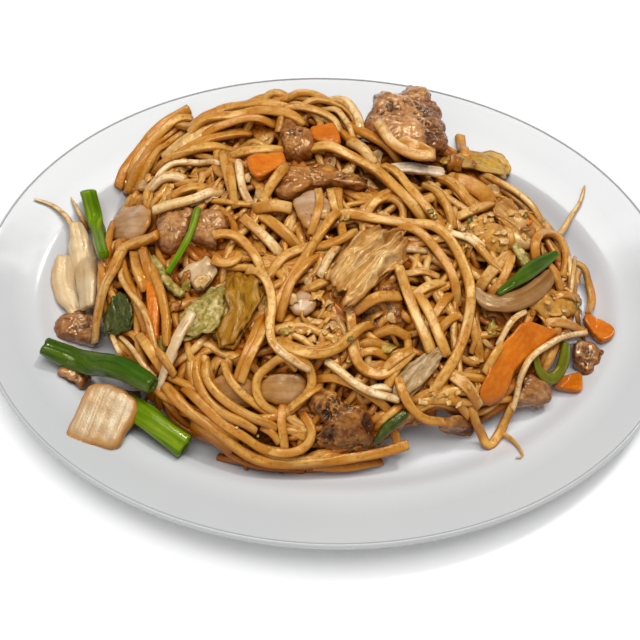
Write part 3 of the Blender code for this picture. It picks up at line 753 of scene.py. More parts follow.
def ribbed(pitch, depth, lumps=0.3, fine=0.1):
    """Relief of fine ribs along a piece, depth * cos(2 pi v / pitch), with their spacing wandering, over
    soft lumps."""
    def relief(local, seed):
        wander = value_noise(local * (0.2, 1, 1), 4.0, seed)
        ribs = np.cos(2 * math.pi * local[..., 1] / pitch + 2.5 * wander)
        height = (depth * ribs + lumps * value_noise(local, 4.0, seed + 1)
                  + fine * value_noise(local * (0.3, 1, 1), 1.0, seed + 2))
        # The second value is how hollow each point is, which the paint darkens as painted shade.
        return height, np.clip(-ribs, 0, 1) * 0.25 + 0 * wander
    return relief


SAUCED_ONION = food_paint("sauced_onion", (0.175, 0.072, 0.018), (0.17, 0.055, 0.006), (0.08, 0.022, 0.002),
                          (0.38, 0.215, 0.082), long_grain=0.05, streaks=0.8, stained=0.5, rim=0.5,
                          flecks=0.1, rough=-0.02, bump=0.0002, shine=0.3, fineness=0.6)
ONION = food_paint("glassy_onion", (0.315, 0.178, 0.096), (0.40, 0.175, 0.035), (0.16, 0.05, 0.008),
                   (0.61, 0.485, 0.35), long_grain=0.35, streaks=0.6, stained=0.8, rim=0.85, flecks=0.15,
                   bump=0.0002, shine=0.5, fineness=0.4)
GOLD_ONION = food_paint("gold_onion", (0.37, 0.19, 0.066), (0.36, 0.14, 0.020), (0.15, 0.045, 0.005),
                        (0.50, 0.33, 0.18), long_grain=0.35, streaks=0.45, stained=0.9, rim=0.9, flecks=0.2,
                        rough=0.04, bump=0.00015, shine=0.35, fineness=0.4)
PALE_ONION = food_paint("pale_onion", (0.58, 0.45, 0.32), (0.44, 0.22, 0.06), (0.16, 0.05, 0.008),
                        (0.76, 0.67, 0.53), long_grain=0.08, streaks=1.0, stained=0.6, rim=0.8, flecks=0.3,
                        rough=-0.05, bump=0.0008, shine=0.7)
BURIED_ONIONS = (
    ("onion_left", (-89, 28), (24, 22, 3), -20, 1.0, 0.8,
     ((112, 212), (122, 205), (140, 203), (151, 208), (149, 224), (141, 236), (125, 241), (113, 238),
      (110, 225))),
    ("onion_middle", (-10, 25), (14, 21, 3), 9, 2.0, 0.3,
     ((293, 200), (302, 191), (315, 188), (325, 196), (333, 205), (327, 222), (318, 232), (305, 227),
      (297, 216))),
    ("onion_loop", (-17, -52), (21, 15, 4), 3, 0.0, 0.6,
     ((258, 388), (265, 378), (280, 373), (295, 374), (304, 383), (303, 395), (292, 403), (275, 404),
      (263, 398))),
    ("onion_front_left", (-36, -54), (20, 12, 3), 4, 0.0, 0.3,
     ((206, 385), (215, 378), (232, 375), (250, 380), (258, 394), (250, 407), (235, 406), (219, 399))),
    ("onion_small", (-11, -17), (12, 13, 3), 5, 1.0, 0.3,
     ((291, 297), (300, 290), (312, 293), (317, 303), (314, 313), (305, 317), (295, 315), (289, 306))),
)
for node, place, size, turn, proud, limp, outline in BURIED_ONIONS:
    golden = node in ("onion_loop", "onion_front_left")
    bedded(node, [slab(node, place, size, turn, proud, outline, limp, flat=6.0, full=2.0,
                       arch=1.6 if node == "onion_left" else 0.6, grow=1.12 if golden else 1.0)],
           ribbed(3.2, 0.02, 0.9, 0.05), GOLD_ONION if golden else ONION, buried=True)
ONION_STRIPS = (
    ("onion_right", ((61, -7, 2.5), (68, -12, 2.5), (77, -11, 2.5), (88, -3, 2.5), (98, 10, 2.5)),
     8.5, 3.4, (0.55, 0.6), SAUCED_ONION),
    ("onion_far_right", ((23, 48.5, 2.5), (35, 51.5, 2.5), (49, 52, 2.5)),
     6.2, 3.2, (0.7, 0.8), PALE_ONION),
)
for node, route, width, thickness, points, paint in ONION_STRIPS:
    bedded(node, [stalk(route, width, thickness, power=2.2, points=points)],
           ribbed(2.2, 0.14, 0.5, 0.08), paint)


# ------------------------------------------------------------------------------ cabbage
# Wilted leaf torn in pieces, thin and creased like crumpled cloth, with its edges browned by the hot
# pan. Most of it lies on the noodles or is caught under one, and the strips are cut from its ribs.
def creased(depth, cell, fine=0.22):
    """Relief of sharp creases along a piece, depth * (1 - |noise|), with finer ones between them."""
    def relief(local, seed):
        crease = 1.0 - 2.2 * np.abs(value_noise(local * (0.32, 1, 0.5), cell, seed))
        small = 1.0 - 2.2 * np.abs(value_noise(local * (0.4, 1, 0.5), cell * 0.36, seed + 1))
        soft = value_noise(local, cell * 1.8, seed + 2)
        height = depth * (crease + 0.9 * soft) + fine * small
        # The second value is how hollow each point is, which the paint darkens as painted shade.
        return height, np.clip(-crease * 0.8, 0, 0.7) + np.clip(-small * 0.3, 0, 0.3)
    return relief


def crumpled(name, place, size, turn, proud, outline, creases=0.30, fold_width=3.4, ragged=0.09, limp=0.3):
    """Two thin ragged sheets, one over the other, thrown in folds along the piece: each is a thin slab
    raised by creases * thickness * (1 - 2 |noise|) and pushed sideways by smooth noise. The valleys of the
    folds count as rim, so that they are painted browner: painted shade in the folds."""
    length, width, thickness = size
    sheets = []
    for number, (scale, sink) in enumerate(((1.08, 0.5), (0.96, 0.0))):
        points, local, rim = slab(name, place, (length, width, 1.5), turn, proud - thickness * sink,
                                  outline, limp, flat=12.0, full=2.0, ragged=ragged, grow=scale)
        seed = seed_of(name) + 7 * number
        fold = 1.0 - 2.0 * np.abs(value_noise(local * (0.18, 1, 0) + 40 * number, fold_width, seed))
        small = 1.0 - 2.0 * np.abs(value_noise(local * (0.25, 1, 0), 0.42 * fold_width, seed + 1))
        curl = value_noise(local * (1, 1, 0), 5.0, seed + 2) * np.clip(rim - 0.6, 0, 1) * 3.0
        points[..., 2] += thickness * creases * (fold + 0.3 * small - 0.6) + curl
        push = np.stack([value_noise(local, 6.0, seed + 3), value_noise(local, 6.0, seed + 4)], axis=-1)
        points[..., :2] += 1.2 * push
        lift_off_plate(points, 0.4)
        # Painted shade: the fold valleys count as rim, which the paint browns.
        sauce = 0.72 + 0.26 * np.clip(-0.2 - 1.3 * (fold + 0.3 * small), 0.0, 1.0)
        sheets.append((points, local, np.maximum(rim, sauce)))
    return sheets


CABBAGE = food_paint("wilted_cabbage", (0.54, 0.29, 0.065), (0.35, 0.125, 0.010), (0.13, 0.036, 0.003),
                     (0.76, 0.54, 0.25), streaks=0.75, rim=0.8, rough=-0.05, bump=0.0003, shine=0.7)
OLIVE_LEAF = food_paint("olive_leaf", (0.27, 0.125, 0.004), (0.24, 0.080, 0.005), (0.07, 0.025, 0.001),
                        (0.44, 0.22, 0.018), long_grain=0.5, streaks=0.6, stained=0.6, rim=0.5, flecks=0.3,
                        shine=0.25)
GOLD_LEAF = food_paint("gold_leaf", (0.46, 0.235, 0.020), (0.27, 0.100, 0.006), (0.09, 0.030, 0.001),
                       (0.62, 0.40, 0.080), long_grain=0.4, streaks=0.7, stained=0.6, rim=0.3, flecks=0.3,
                       shine=0.4)
PALE_LEAF = food_paint("pale_leaf", (0.29, 0.205, 0.035), (0.30, 0.16, 0.018), (0.10, 0.10, 0.006),
                       (0.62, 0.48, 0.21), long_grain=0.9, streaks=1.0, stained=0.5, rim=0.3, flecks=0.9,
                       bump=0.0006)
WHITE_LEAF = food_paint("white_leaf", (0.55, 0.36, 0.185), (0.40, 0.19, 0.05), (0.14, 0.05, 0.008),
                        (0.70, 0.57, 0.38), streaks=0.5, stained=0.5, rim=0.5, flecks=0.1, rough=-0.10,
                        shine=0.8)
GREY_LEAF = food_paint("grey_leaf", (0.36, 0.235, 0.105), (0.30, 0.13, 0.020), (0.11, 0.045, 0.006),
                       (0.60, 0.46, 0.27), long_grain=0.08, streaks=1.0, stained=0.4, rim=0.5, flecks=0.3,
                       rough=-0.06, bump=0.0003, shine=0.5)
CABBAGE_SHEETS = (
    ("cabbage_grey", (40, -44), (26, 11, 4.5), 48, 3.5, GREY_LEAF,
     dict(limp=0.7, creases=0.16, fold_width=1.6),
     ((388, 393), (397, 380), (407, 367), (420, 356), (434, 350), (444, 352), (441, 364), (431, 376),
      (419, 388), (409, 397), (397, 399))),
    ("cabbage_far_left_leaf", (-90, 53), (17, 13, 4.5), -20, 2.0, CABBAGE, dict(limp=0.8),
     ((120, 180), (128, 172), (145, 170), (153, 179), (149, 190), (132, 193), (121, 190))),
    ("cabbage_far_middle", (7, 80), (15, 18, 5), -28, 1.5, CABBAGE, dict(limp=0.8),
     ((328, 104), (342, 101), (352, 108), (360, 120), (364, 131), (357, 136), (345, 128), (335, 117))),
    ("cabbage_far_right", (65, 64), (28, 12, 6), 4, 3.0, GOLD_LEAF,
     dict(limp=0.7, creases=0.12, fold_width=5.0),
     ((440, 160), (455, 155), (470, 151), (485, 153), (497, 158), (509, 167), (503, 179), (490, 173),
      (478, 169), (462, 168), (447, 168))),
    ("cabbage_right_upper", (83, 32), (21, 17, 6), -22, 2.0, CABBAGE, dict(limp=0.6),
     ((493, 207), (504, 199), (513, 203), (522, 212), (531, 222), (539, 232), (541, 241), (535, 252),
      (524, 250), (514, 246), (508, 233), (500, 221), (493, 213))),
    ("cabbage_centre", (18, -3), (46, 20, 9), 50, 6.0, CABBAGE, dict(limp=0.6),
     ((355, 231), (375, 227), (400, 230), (406, 245), (404, 263), (393, 269), (381, 277), (371, 291),
      (360, 303), (350, 309), (343, 303), (345, 293), (333, 291), (325, 281), (321, 271), (334, 261),
      (345, 246))),
    ("leaf_olive", (-35, -24), (31, 14, 5), -92, 3.5, OLIVE_LEAF,
     dict(limp=0.8, creases=0.12, fold_width=6.0),
     ((232, 281), (240, 275), (252, 275), (262, 287), (265, 299), (258, 306), (251, 318), (244, 330),
      (237, 341), (228, 347), (217, 344), (216, 334), (222, 320), (228, 308), (226, 296))),
    ("napa_leaf_pale", (-50, -24), (20, 14, 5), 56, 4.5, PALE_LEAF,
     dict(limp=0.7, creases=0.20, fold_width=2.0, ragged=0.14),
     ((218, 288), (208, 292), (199, 298), (190, 308), (183, 318), (180, 330), (184, 339), (195, 336),
      (210, 331), (218, 329), (221, 318), (229, 310), (224, 300), (223, 291))),
)
BURIED_CABBAGE = ("cabbage_far_left_leaf", "cabbage_far_middle", "cabbage_far_right", "cabbage_right_upper",
                  "cabbage_far_left")
for node, place, size, turn, proud, paint, more, outline in CABBAGE_SHEETS:
    fine = 0.09 if paint in (OLIVE_LEAF, GOLD_LEAF) else 0.18
    bedded(node, crumpled(node, place, size, turn, proud, outline, **more), creased(fine, 1.5, 0.08), paint,
           node in BURIED_CABBAGE)
CABBAGE_LEFT_OUTLINE = ((178, 275), (184, 265), (196, 261), (205, 254), (215, 261), (218, 272), (211, 282),
                        (204, 291), (197, 293), (188, 283))
bedded("cabbage_left", [slab("cabbage_left", (-57, -4), (22, 22, 3.5), 40, 2.5, CABBAGE_LEFT_OUTLINE,
                             limp=0.6, flat=6.0, full=2.0, arch=1.0)],
       ribbed(6.0, 0.10, 1.1, 0.10), WHITE_LEAF, buried=True)
CABBAGE_STRIPS = (
    ("cabbage_far_left", ((-78, 62, 1.0), (-66, 69, 1.0), (-52, 77, 1.0)), 6.5, 4.0, CABBAGE),
    ("cabbage_rib", ((-68, -52, 2.5), (-62, -41, 3.0), (-58, -31, 3.5), (-54, -24, 5.0)), 4.6, 2.6,
     WHITE_LEAF),
    ("cabbage_strip_left", ((-75, 5, 2.5), (-67, -8, 2.5), (-60, -14, 2.5)), 4.0, 3.5, PALE_LEAF),
    ("scallion_right_pale", ((79, 17, 2.5), (82, 12, 2.5), (85, 7, 2.5)), 4.3, 3.0, PALE_LEAF),
)
for node, route, width, thickness, paint in CABBAGE_STRIPS:
    bedded(node, [stalk(route, width, thickness, points=(0.5, 0.8))], creased(0.25, 2.4), paint,
           node in BURIED_CABBAGE)


# ------------------------------------------------------------------------------ egg
# Scrambled egg in soft yellow curds, browned on top and coated with sauce, mixed in with the noodles at
# the right. Noodles and chopped bits lie over both pieces.
def curdled(local, seed):
    """Relief of rounded curds, 1.3 * noise with deep seams between them."""
    curd = value_noise(local, 3.6, seed)
    small = 0.5 * value_noise(local, 1.5, seed + 1) + 0.15 * value_noise(local, 0.7, seed + 2)
    # The second value is how hollow each point is, which the paint darkens as painted shade.
    return 1.3 * curd + small, np.clip(-0.5 - 1.6 * curd, 0, 0.8)


EGG = food_paint("scrambled_egg", (0.50, 0.24, 0.035), (0.36, 0.13, 0.012), (0.13, 0.040, 0.004),
                 (0.68, 0.44, 0.14), long_grain=1.0, streaks=0.5, stained=0.7, rim=0.3, flecks=0.3)
EGGS = (
    ("egg_right_upper", (68, 22), (16, 14, 7), 12, 3.0,
     ((476, 222), (489, 216), (500, 219), (507, 234), (509, 250), (500, 257), (488, 251), (478, 240))),
    ("egg_right", (95, -8), (20, 13, 6), 19, 2.5,
     ((530, 300), (545, 289), (560, 289), (576, 296), (579, 310), (565, 319), (548, 321), (532, 313))),
)
for node, place, size, turn, proud, outline in EGGS:
    bedded(node, [slab(node, place, size, turn, proud, outline, flat=3.0, full=2.0, ragged=0.06)],
           curdled, EGG, buried=True)


# ------------------------------------------------------------------------------ beef
# Thin-cut beef seared in the wok: grainy along its fibre, split by clefts that are painted dark as shade,
# with crumbs of crust and a glaze of sauce that glints on every edge.
def ridged(points, cell, seed):
    """Noise of -1..1 with sharp crests and round valleys: 1 - 2 * |noise|, its mean taken off."""
    return 0.5 - 2.0 * np.abs(value_noise(points, cell, seed))


def seared(coarse, crisp, across=False):
    """Relief of broad soft facets with fibre that wanders along the grain. Crisp fine wrinkles cover some
    of it, and the rest is smooth."""
    def relief(local, seed):
        warp = np.stack([value_noise(local, 5.0, seed + k) for k in range(3)], axis=-1)
        bent = local + 1.8 * warp
        torn = 1.7 * value_noise(bent, 8.5, seed + 3) + 0.45 * value_noise(bent, 4.0, seed + 4)
        grain = bent * ((1, 0.35, 1) if across else (0.35, 1, 1))
        crusty = crisp * np.clip(0.6 + 1.6 * value_noise(local, 6.0, seed + 7), 0.08, 1.0)
        wrinkle = crusty * (0.50 * ridged(grain, 2.3, seed + 5) + 0.40 * ridged(bent, 1.3, seed + 8))
        crumb = 0.20 * value_noise(grain, 0.9, seed + 9)
        # The second value is how hollow each point is, which the paint darkens as painted shade.
        return coarse * torn + wrinkle + crumb, -0.5 * torn - 1.5 * wrinkle - 0.15
    return relief


BEEF = food_paint("seared_beef", (0.46, 0.190, 0.050), (0.17, 0.038, 0.004), (0.050, 0.007, 0.001),
                  (0.70, 0.42, 0.19), long_grain=0.45, streaks=0.6, stained=0.75, rim=0.85, flecks=0.5,
                  rough=-0.04, bump=0.0002, shine=0.8)
BROWN_BEEF = food_paint("brown_beef", (0.42, 0.150, 0.022), (0.17, 0.034, 0.003), (0.045, 0.006, 0.001),
                        (0.66, 0.36, 0.11), long_grain=0.45, streaks=0.6, stained=0.8, rim=0.6, flecks=0.5,
                        rough=-0.04, bump=0.0002, shine=0.8)
DARK_BEEF = food_paint("dark_beef", (0.27, 0.070, 0.008), (0.065, 0.009, 0.0006), (0.028, 0.003, 0.0003),
                       (0.66, 0.33, 0.07), long_grain=0.4, streaks=0.65, stained=0.9, rim=0.0,
                       flecks=0.6, bump=0.0006, shine=0.5, fineness=0.8)
SHADED_BEEF = food_paint("shaded_beef", (0.40, 0.150, 0.028), (0.17, 0.034, 0.003), (0.045, 0.006, 0.001),
                         (0.62, 0.34, 0.11), long_grain=0.45, streaks=0.6, stained=0.7, rim=0.3, flecks=0.5,
                         rough=0.15, bump=0.0003, shine=0.2)
BEEF_PAINTS = {"beef_front": DARK_BEEF, "beef_middle": DARK_BEEF, "beef_front_right": SHADED_BEEF,
               "beef_middle_far": BROWN_BEEF, "beef_far_middle": BROWN_BEEF}
BEEFS = (
    ("beef_far_middle", (-17, 64), (31, 15, 13), 97, 5.0, {},
     ((283, 118), (290, 113), (297, 122), (303, 130), (313, 137), (314, 148), (312, 160), (297, 164),
      (288, 160), (284, 150), (279, 145), (279, 130))),
    ("beef_middle_far", (-4, 39), (43, 15, 11), 10, 4.0, dict(limp=0.5),
     ((288, 165), (300, 168), (318, 163), (333, 162), (343, 172), (358, 173), (369, 182), (368, 191),
      (345, 191), (332, 187), (318, 190), (303, 193), (298, 203), (280, 203), (272, 196), (277, 184))),
    ("beef_left_inner", (-67, 14), (20, 19, 12), -10, 4.0, {},
     ((158, 222), (165, 212), (180, 208), (193, 207), (192, 225), (187, 240), (178, 252), (170, 256),
      (160, 247), (157, 235))),
    ("beef_left_middle", (-49, 13), (15, 22, 12), 7, 4.0, {},
     ((197, 214), (206, 211), (222, 212), (231, 220), (233, 232), (222, 236), (216, 240), (221, 247),
      (218, 256), (205, 253), (195, 246), (191, 236), (195, 225))),
    ("beef_left_edge", (-110, -19), (19, 18, 12), -14, 9.0, {},
     ((58, 322), (62, 317), (72, 315), (80, 309), (95, 312), (101, 320), (100, 338), (96, 348), (80, 345),
      (60, 338), (57, 330))),
    ("beef_left_low", (-107, -44), (17, 11, 9), -30, 6.0, dict(slope=(0.0, 0.2)),
     ((57, 368), (62, 362), (75, 360), (92, 368), (92, 376), (88, 388), (84, 392), (70, 384), (57, 376))),
    ("beef_front", (8, -63), (29, 24, 15), -8, 6.0, {},
     ((308, 402), (320, 388), (335, 389), (343, 396), (355, 404), (366, 407), (371, 415), (374, 430),
      (375, 445), (368, 451), (345, 453), (325, 455), (311, 451), (310, 444), (322, 435), (322, 425),
      (316, 415), (309, 410))),
    ("beef_middle", (25, -16), (27, 20, 11), 15, -1.0, {},
     ((378, 278), (395, 278), (400, 290), (405, 305), (408, 330), (398, 342), (375, 340), (358, 332),
      (358, 312), (372, 300), (376, 288))),
    ("beef_right", (111, -24), (14, 15, 11), 5, 8.0, dict(slope=(-0.2, 0.2)),
     ((573, 342), (580, 338), (592, 341), (600, 347), (604, 353), (598, 361), (597, 367), (591, 369),
      (590, 376), (584, 380), (577, 372), (572, 366), (571, 354))),
    ("beef_right_low", (90, -43), (14, 13, 10), -12, 7.0, dict(slope=(0.0, 0.4)),
     ((521, 378), (530, 372), (539, 378), (549, 383), (552, 392), (552, 402), (546, 405), (537, 411),
      (522, 408), (512, 407), (514, 395), (520, 390))),
    ("beef_front_right", (55, -60), (20, 8, 9), -5, 5.0, {},
     ((437, 428), (440, 420), (450, 414), (462, 414), (473, 418), (477, 430), (470, 439), (460, 438),
      (446, 434))),
    ("beef_far_right", (30, 80), (38, 38, 20), 8, 15.0, dict(slope=(0.0, -0.25)),
     ((374, 94), (386, 94), (398, 89), (409, 81), (421, 80), (430, 86), (433, 101), (440, 114),
      (438, 124), (446, 133), (447, 148), (440, 158), (425, 160), (400, 161), (385, 156), (372, 142),
      (364, 138), (367, 126), (370, 113), (373, 103))),
)
for node, place, size, turn, proud, more, outline in BEEFS:
    in_front = node == "beef_front"
    coarse = 0.5 if size[0] < 15 else 0.75 if size[2] < 12 else 1.0
    crisp = 1.7 if in_front else 0.9 if size[0] < 25 else 1.3
    bedded(node, [slab(node, place, size, turn, proud, outline, step=0.45, flat=3.2, ragged=0.05, **more)],
           seared(coarse, crisp, in_front), BEEF_PAINTS.get(node, BEEF), node == "beef_middle")


# ------------------------------------------------------------------------------ carrot
# Carrot cut in thin slices, with flat faces and edges that are still sharp. Half cooked, it stays stiff
# and bright orange under a wet film of sauce.
def sliced(local, seed):
    """Relief of a cut face: faint ripples across it, sin(2.4 u), over soft lumps."""
    ripple = 0.05 * np.sin(local[..., 0] * 2.4 + value_noise(local, 5.0, seed))
    height = 0.38 * value_noise(local, 4.5, seed + 1) + ripple + 0.06 * value_noise(local, 1.1, seed + 2)
    return height, 0 * height


CARROT = food_paint("cooked_carrot", (0.55, 0.125, 0.003), (0.38, 0.090, 0.004), (0.25, 0.035, 0.001),
                    (0.66, 0.22, 0.012), long_grain=0.25, streaks=0.6, stained=0.7, rim=0.4, flecks=0.3,
                    rough=-0.05, bump=0.0003, shine=0.45)
CARROTS = (
    ("carrot_far_left", (-29, 46), (21, 16, 5), -8, 4.0, 0.3,
     ((246, 158), (254, 155), (284, 152), (286, 165), (275, 173), (262, 181), (256, 182), (250, 172))),
    ("carrot_far_middle", (-4, 65), (13, 12, 5), -25, 3.5, 0.3,
     ((311, 128), (325, 124), (333, 122), (339, 135), (341, 149), (325, 147), (314, 143), (310, 135))),
    ("carrot_right", (120, -9), (11, 12, 5), -25, 6.0, 0.3,
     ((583, 316), (589, 313), (600, 320), (612, 327), (615, 334), (610, 341), (600, 344), (594, 338),
      (589, 330), (584, 322))),
    ("carrot_right_low", (104, -39), (13, 9, 4.5), -6, 5.5, 0.3,
     ((553, 382), (565, 376), (580, 371), (582, 380), (582, 392), (578, 394), (565, 391), (553, 387))),
    ("carrot_slab", (79, -34), (37, 13, 5), 55, 5.0, 0.6,
     ((520, 324), (530, 321), (545, 327), (562, 331), (553, 338), (543, 347), (533, 357), (523, 362),
      (513, 374), (508, 386), (509, 396), (500, 402), (490, 407), (478, 402), (480, 390), (487, 377),
      (490, 362), (497, 352), (503, 343), (511, 336))),
)
for node, place, size, turn, proud, limp, outline in CARROTS:
    bedded(node, [slab(node, place, size, turn, proud, outline, limp, flat=14.0, full=4.0)],
           sliced, CARROT)
SLIVER_ROUTE = ((-76, 2, 1.5), (-72, -17, 1.5), (-71, -34, 1.5))
bedded("carrot_sliver", [stalk(SLIVER_ROUTE, 5.5, 4.0, power=3.5)], sliced, CARROT)


# ------------------------------------------------------------------------------ pale stems
# White ribs of napa cabbage and bok choy, glassy from cooking, with long fine veins and tan edges. They
# lie on the plate at the left, the two long ones half over each other.
STEM = food_paint("glassy_stem", (0.50, 0.37, 0.20), (0.42, 0.20, 0.050), (0.30, 0.12, 0.02),
                  (0.60, 0.50, 0.34), long_grain=0.06, streaks=0.6, stained=0.5, rim=0.45, flecks=0.08,
                  rough=0.10, bump=0.0002, shine=0.5, fineness=0.7)
NAPA = food_paint("napa_stem", (0.42, 0.30, 0.16), (0.38, 0.155, 0.022), (0.28, 0.10, 0.012),
                  (0.58, 0.51, 0.38), long_grain=0.05, streaks=0.8, stained=0.6, rim=0.95, flecks=0.2,
                  rough=-0.04, bump=0.0003, shine=0.6, fineness=0.7)
STEMS = (
    ("stem_left_lower", ((-119, 16, 4.5), (-117, 2, 4.5), (-109, -12, 4.0)), 11.5, 6.0, (0.60, 0.35)),
    ("stem_left_upper", ((-115, 31, 6.0), (-110, 14, 7.0), (-106, 2, 7.0), (-104, -12, 6.0)), 13.0, 6.5,
     (0.40, 0.60)),
)
for node, route, width, thickness, points in STEMS:
    bedded(node, [stalk(route, width, thickness, power=2.1, points=points)],
           ribbed(2.6, 0.06, 0.5, 0.08), STEM)
NAPA_OUTLINE = ((88, 385), (97, 382), (110, 383), (125, 390), (138, 400), (139, 410), (133, 425),
                (127, 432), (120, 448), (112, 452), (98, 448), (85, 445), (72, 440), (67, 437),
                (69, 428), (76, 412), (82, 398))
bedded("napa_stem", [slab("napa_stem", (-92, -62), (29, 23, 6), 72, 8.0, NAPA_OUTLINE, limp=0.0,
                          slope=(0.05, 0.20), flat=9.0, full=2.6, ragged=0.015)],
       ribbed(4.6, 0.06, 0.25, 0.03), NAPA)


# ------------------------------------------------------------------------------ scallion and leaf greens
# Lengths of scallion cut across, hollow and half flattened, dark green with bright wet streaks along
# them, and one crumpled dark leaf. The big ones lie loose on the plate's edge and the heap's side.
def veined(local, seed):
    """Relief of long creases along a hollow leaf and fine ribs between them."""
    long_way = local * (0.10, 1, 1)
    crease = value_noise(long_way, 3.0, seed)
    ribs = value_noise(long_way, 1.0, seed + 1)
    dent = value_noise(local * (0.5, 1, 1), 6.0, seed + 2)
    # The second value is how hollow each point is, which the paint darkens as painted shade.
    return 0.45 * crease + 0.16 * ribs + 0.5 * dent, np.clip(-crease - 0.3, 0, 0.5)


SCALLION = food_paint("dark_scallion", (0.018, 0.072, 0.001), (0.018, 0.036, 0.001), (0.005, 0.014, 0.001),
                      (0.11, 0.175, 0.004), long_grain=0.06, streaks=0.6, stained=0.6, rim=0.2, flecks=0.1,
                      rough=-0.10, shine=0.4)
BRIGHT_SCALLION = food_paint("bright_scallion", (0.050, 0.145, 0.001), (0.070, 0.105, 0.002),
                             (0.010, 0.036, 0.001), (0.26, 0.34, 0.006), long_grain=0.05, streaks=0.8,
                             stained=0.4, rim=0.2, flecks=0.1, rough=-0.12, shine=0.2)
DARK_LEAF = food_paint("dark_leaf", (0.020, 0.042, 0.001), (0.040, 0.030, 0.001), (0.004, 0.008, 0.001),
                       (0.075, 0.105, 0.003), long_grain=0.6, streaks=0.7, stained=0.6, rim=0.2, flecks=0.4,
                       rough=-0.10, bump=0.0006, shine=0.6)
OLIVE_SCALLION = food_paint("olive_scallion", (0.080, 0.125, 0.002), (0.13, 0.100, 0.003),
                            (0.020, 0.030, 0.001), (0.28, 0.28, 0.020), long_grain=0.05, streaks=0.7,
                            stained=0.6, rim=0.6, flecks=0.2, rough=-0.10, shine=0.3)
# scallion_dark_front takes the dark leaf's paint because it lies in the heap's shade: painted shade.
GREEN_PAINTS = {"scallion_front": BRIGHT_SCALLION, "scallion_thin": BRIGHT_SCALLION,
                "scallion_left": BRIGHT_SCALLION, "scallion_ring": OLIVE_SCALLION,
                "scallion_dark_front": DARK_LEAF}
GREENS = (
    ("scallion_front", ((-84, -54, 6.5), (-70, -63, 6.0), (-55, -73, 5.5)), 10.5, 8.5, dict(bore=(0, 5))),
    ("scallion_big", ((-119, -33, 9), (-104, -37, 12), (-85, -43, 10), (-69, -52, 8)), 10.0, 9.0,
     dict(bore=(7, 4), points=(0.8, 0.75))),
    ("scallion_left", ((-110, 44, 10), (-106, 32, 11), (-97, 7, 8)), 8.0, 7.0,
     dict(taper=0.7, bore=(4, 0))),
    ("scallion_thin", ((-56, 23, 6.5), (-59, 9, 6.5), (-67, -5, 5.0)), 2.8, 2.8, {}),
    ("scallion_right_leaf", ((71, -9, 4.5), (81, 0, 4.5), (92, 11, 4.5), (99, 18, 4.5)), 7.0, 4.0,
     dict(points=(0.35, 0.45), twist=35)),
    ("scallion_ring", ((88.5, -28, 3.0), (89.3, -33, 3.0), (92.5, -36.0, 3.0), (96.7, -35.5, 3.0),
                       (100.3, -31.5, 3.0), (101.8, -26.5, 3.0), (102.2, -21, 3.0)), 3.8, 2.2,
     dict(taper=1.9, points=(0.5, 0.7), twist=50)),
    ("scallion_dark_front", ((22, -70, 5.0), (28, -64, 5.5), (35, -59, 5.0)), 5.0, 3.0,
     dict(points=(0.3, 0.7))),
)
for node, route, width, thickness, more in GREENS:
    relief = veined if width > 6 else ribbed(1.4, 0.08, 0.15)
    bedded(node, [stalk(route, width, thickness, power=2.1, **more)], relief,
           GREEN_PAINTS.get(node, SCALLION))
LEAF_OUTLINE = ((112, 298), (118, 292), (128, 296), (134, 306), (133, 318), (127, 329), (118, 333),
                (106, 334), (104, 325), (106, 312))
bedded("leaf_left", crumpled("leaf_left", (-88, -19), (23, 13, 4), -85, 2.5, LEAF_OUTLINE, limp=0.7,
                             creases=0.25, fold_width=2.6),
       creased(0.3, 2.0), DARK_LEAF)


# ------------------------------------------------------------------------------ noodles underneath
# Boiled wheat noodles, some two hundred of them, fill the mound up to the pieces that are bedded in it.
# They lie in three loose layers, each on the one below, and more lie round its foot, down to the plate.
END_DIP = 5.0
END_RUN = 8.0
UNDERSIDE = np.linspace(-0.48, 0.48, 9)
NOODLE_WIDTH = 4.0
HIDDEN_BELOW = 6.0

# Each lid is widened by one cell to all sides, so that no strand's edge comes up beside a piece.
for over in (buried_lid, lid):
    grid = np.pad(over.height, 1, constant_values=NO_LID)
    rows, columns = over.height.shape
    over.height = np.max([grid[i:i + rows, j:j + columns] for i in range(3) for j in range(3)], axis=0)


def keep_under(*lids):
    """Noodles laid from now on stay so far below the tops of the pieces in these lids."""
    top = np.max([over.height for over in lids] + [0 * lid.height + NO_LID], axis=0)
    ceiling.height = np.where(top > NO_LID + 10, top - HIDDEN_BELOW, food_map.height + NO_CEILING)


def slide(values, reach, choose):
    """Each number of a row replaced by the largest or smallest within so many places of it."""
    padded = np.pad(values, reach, mode="edge")
    return choose([padded[k:k + len(values)] for k in range(2 * reach + 1)], axis=0)


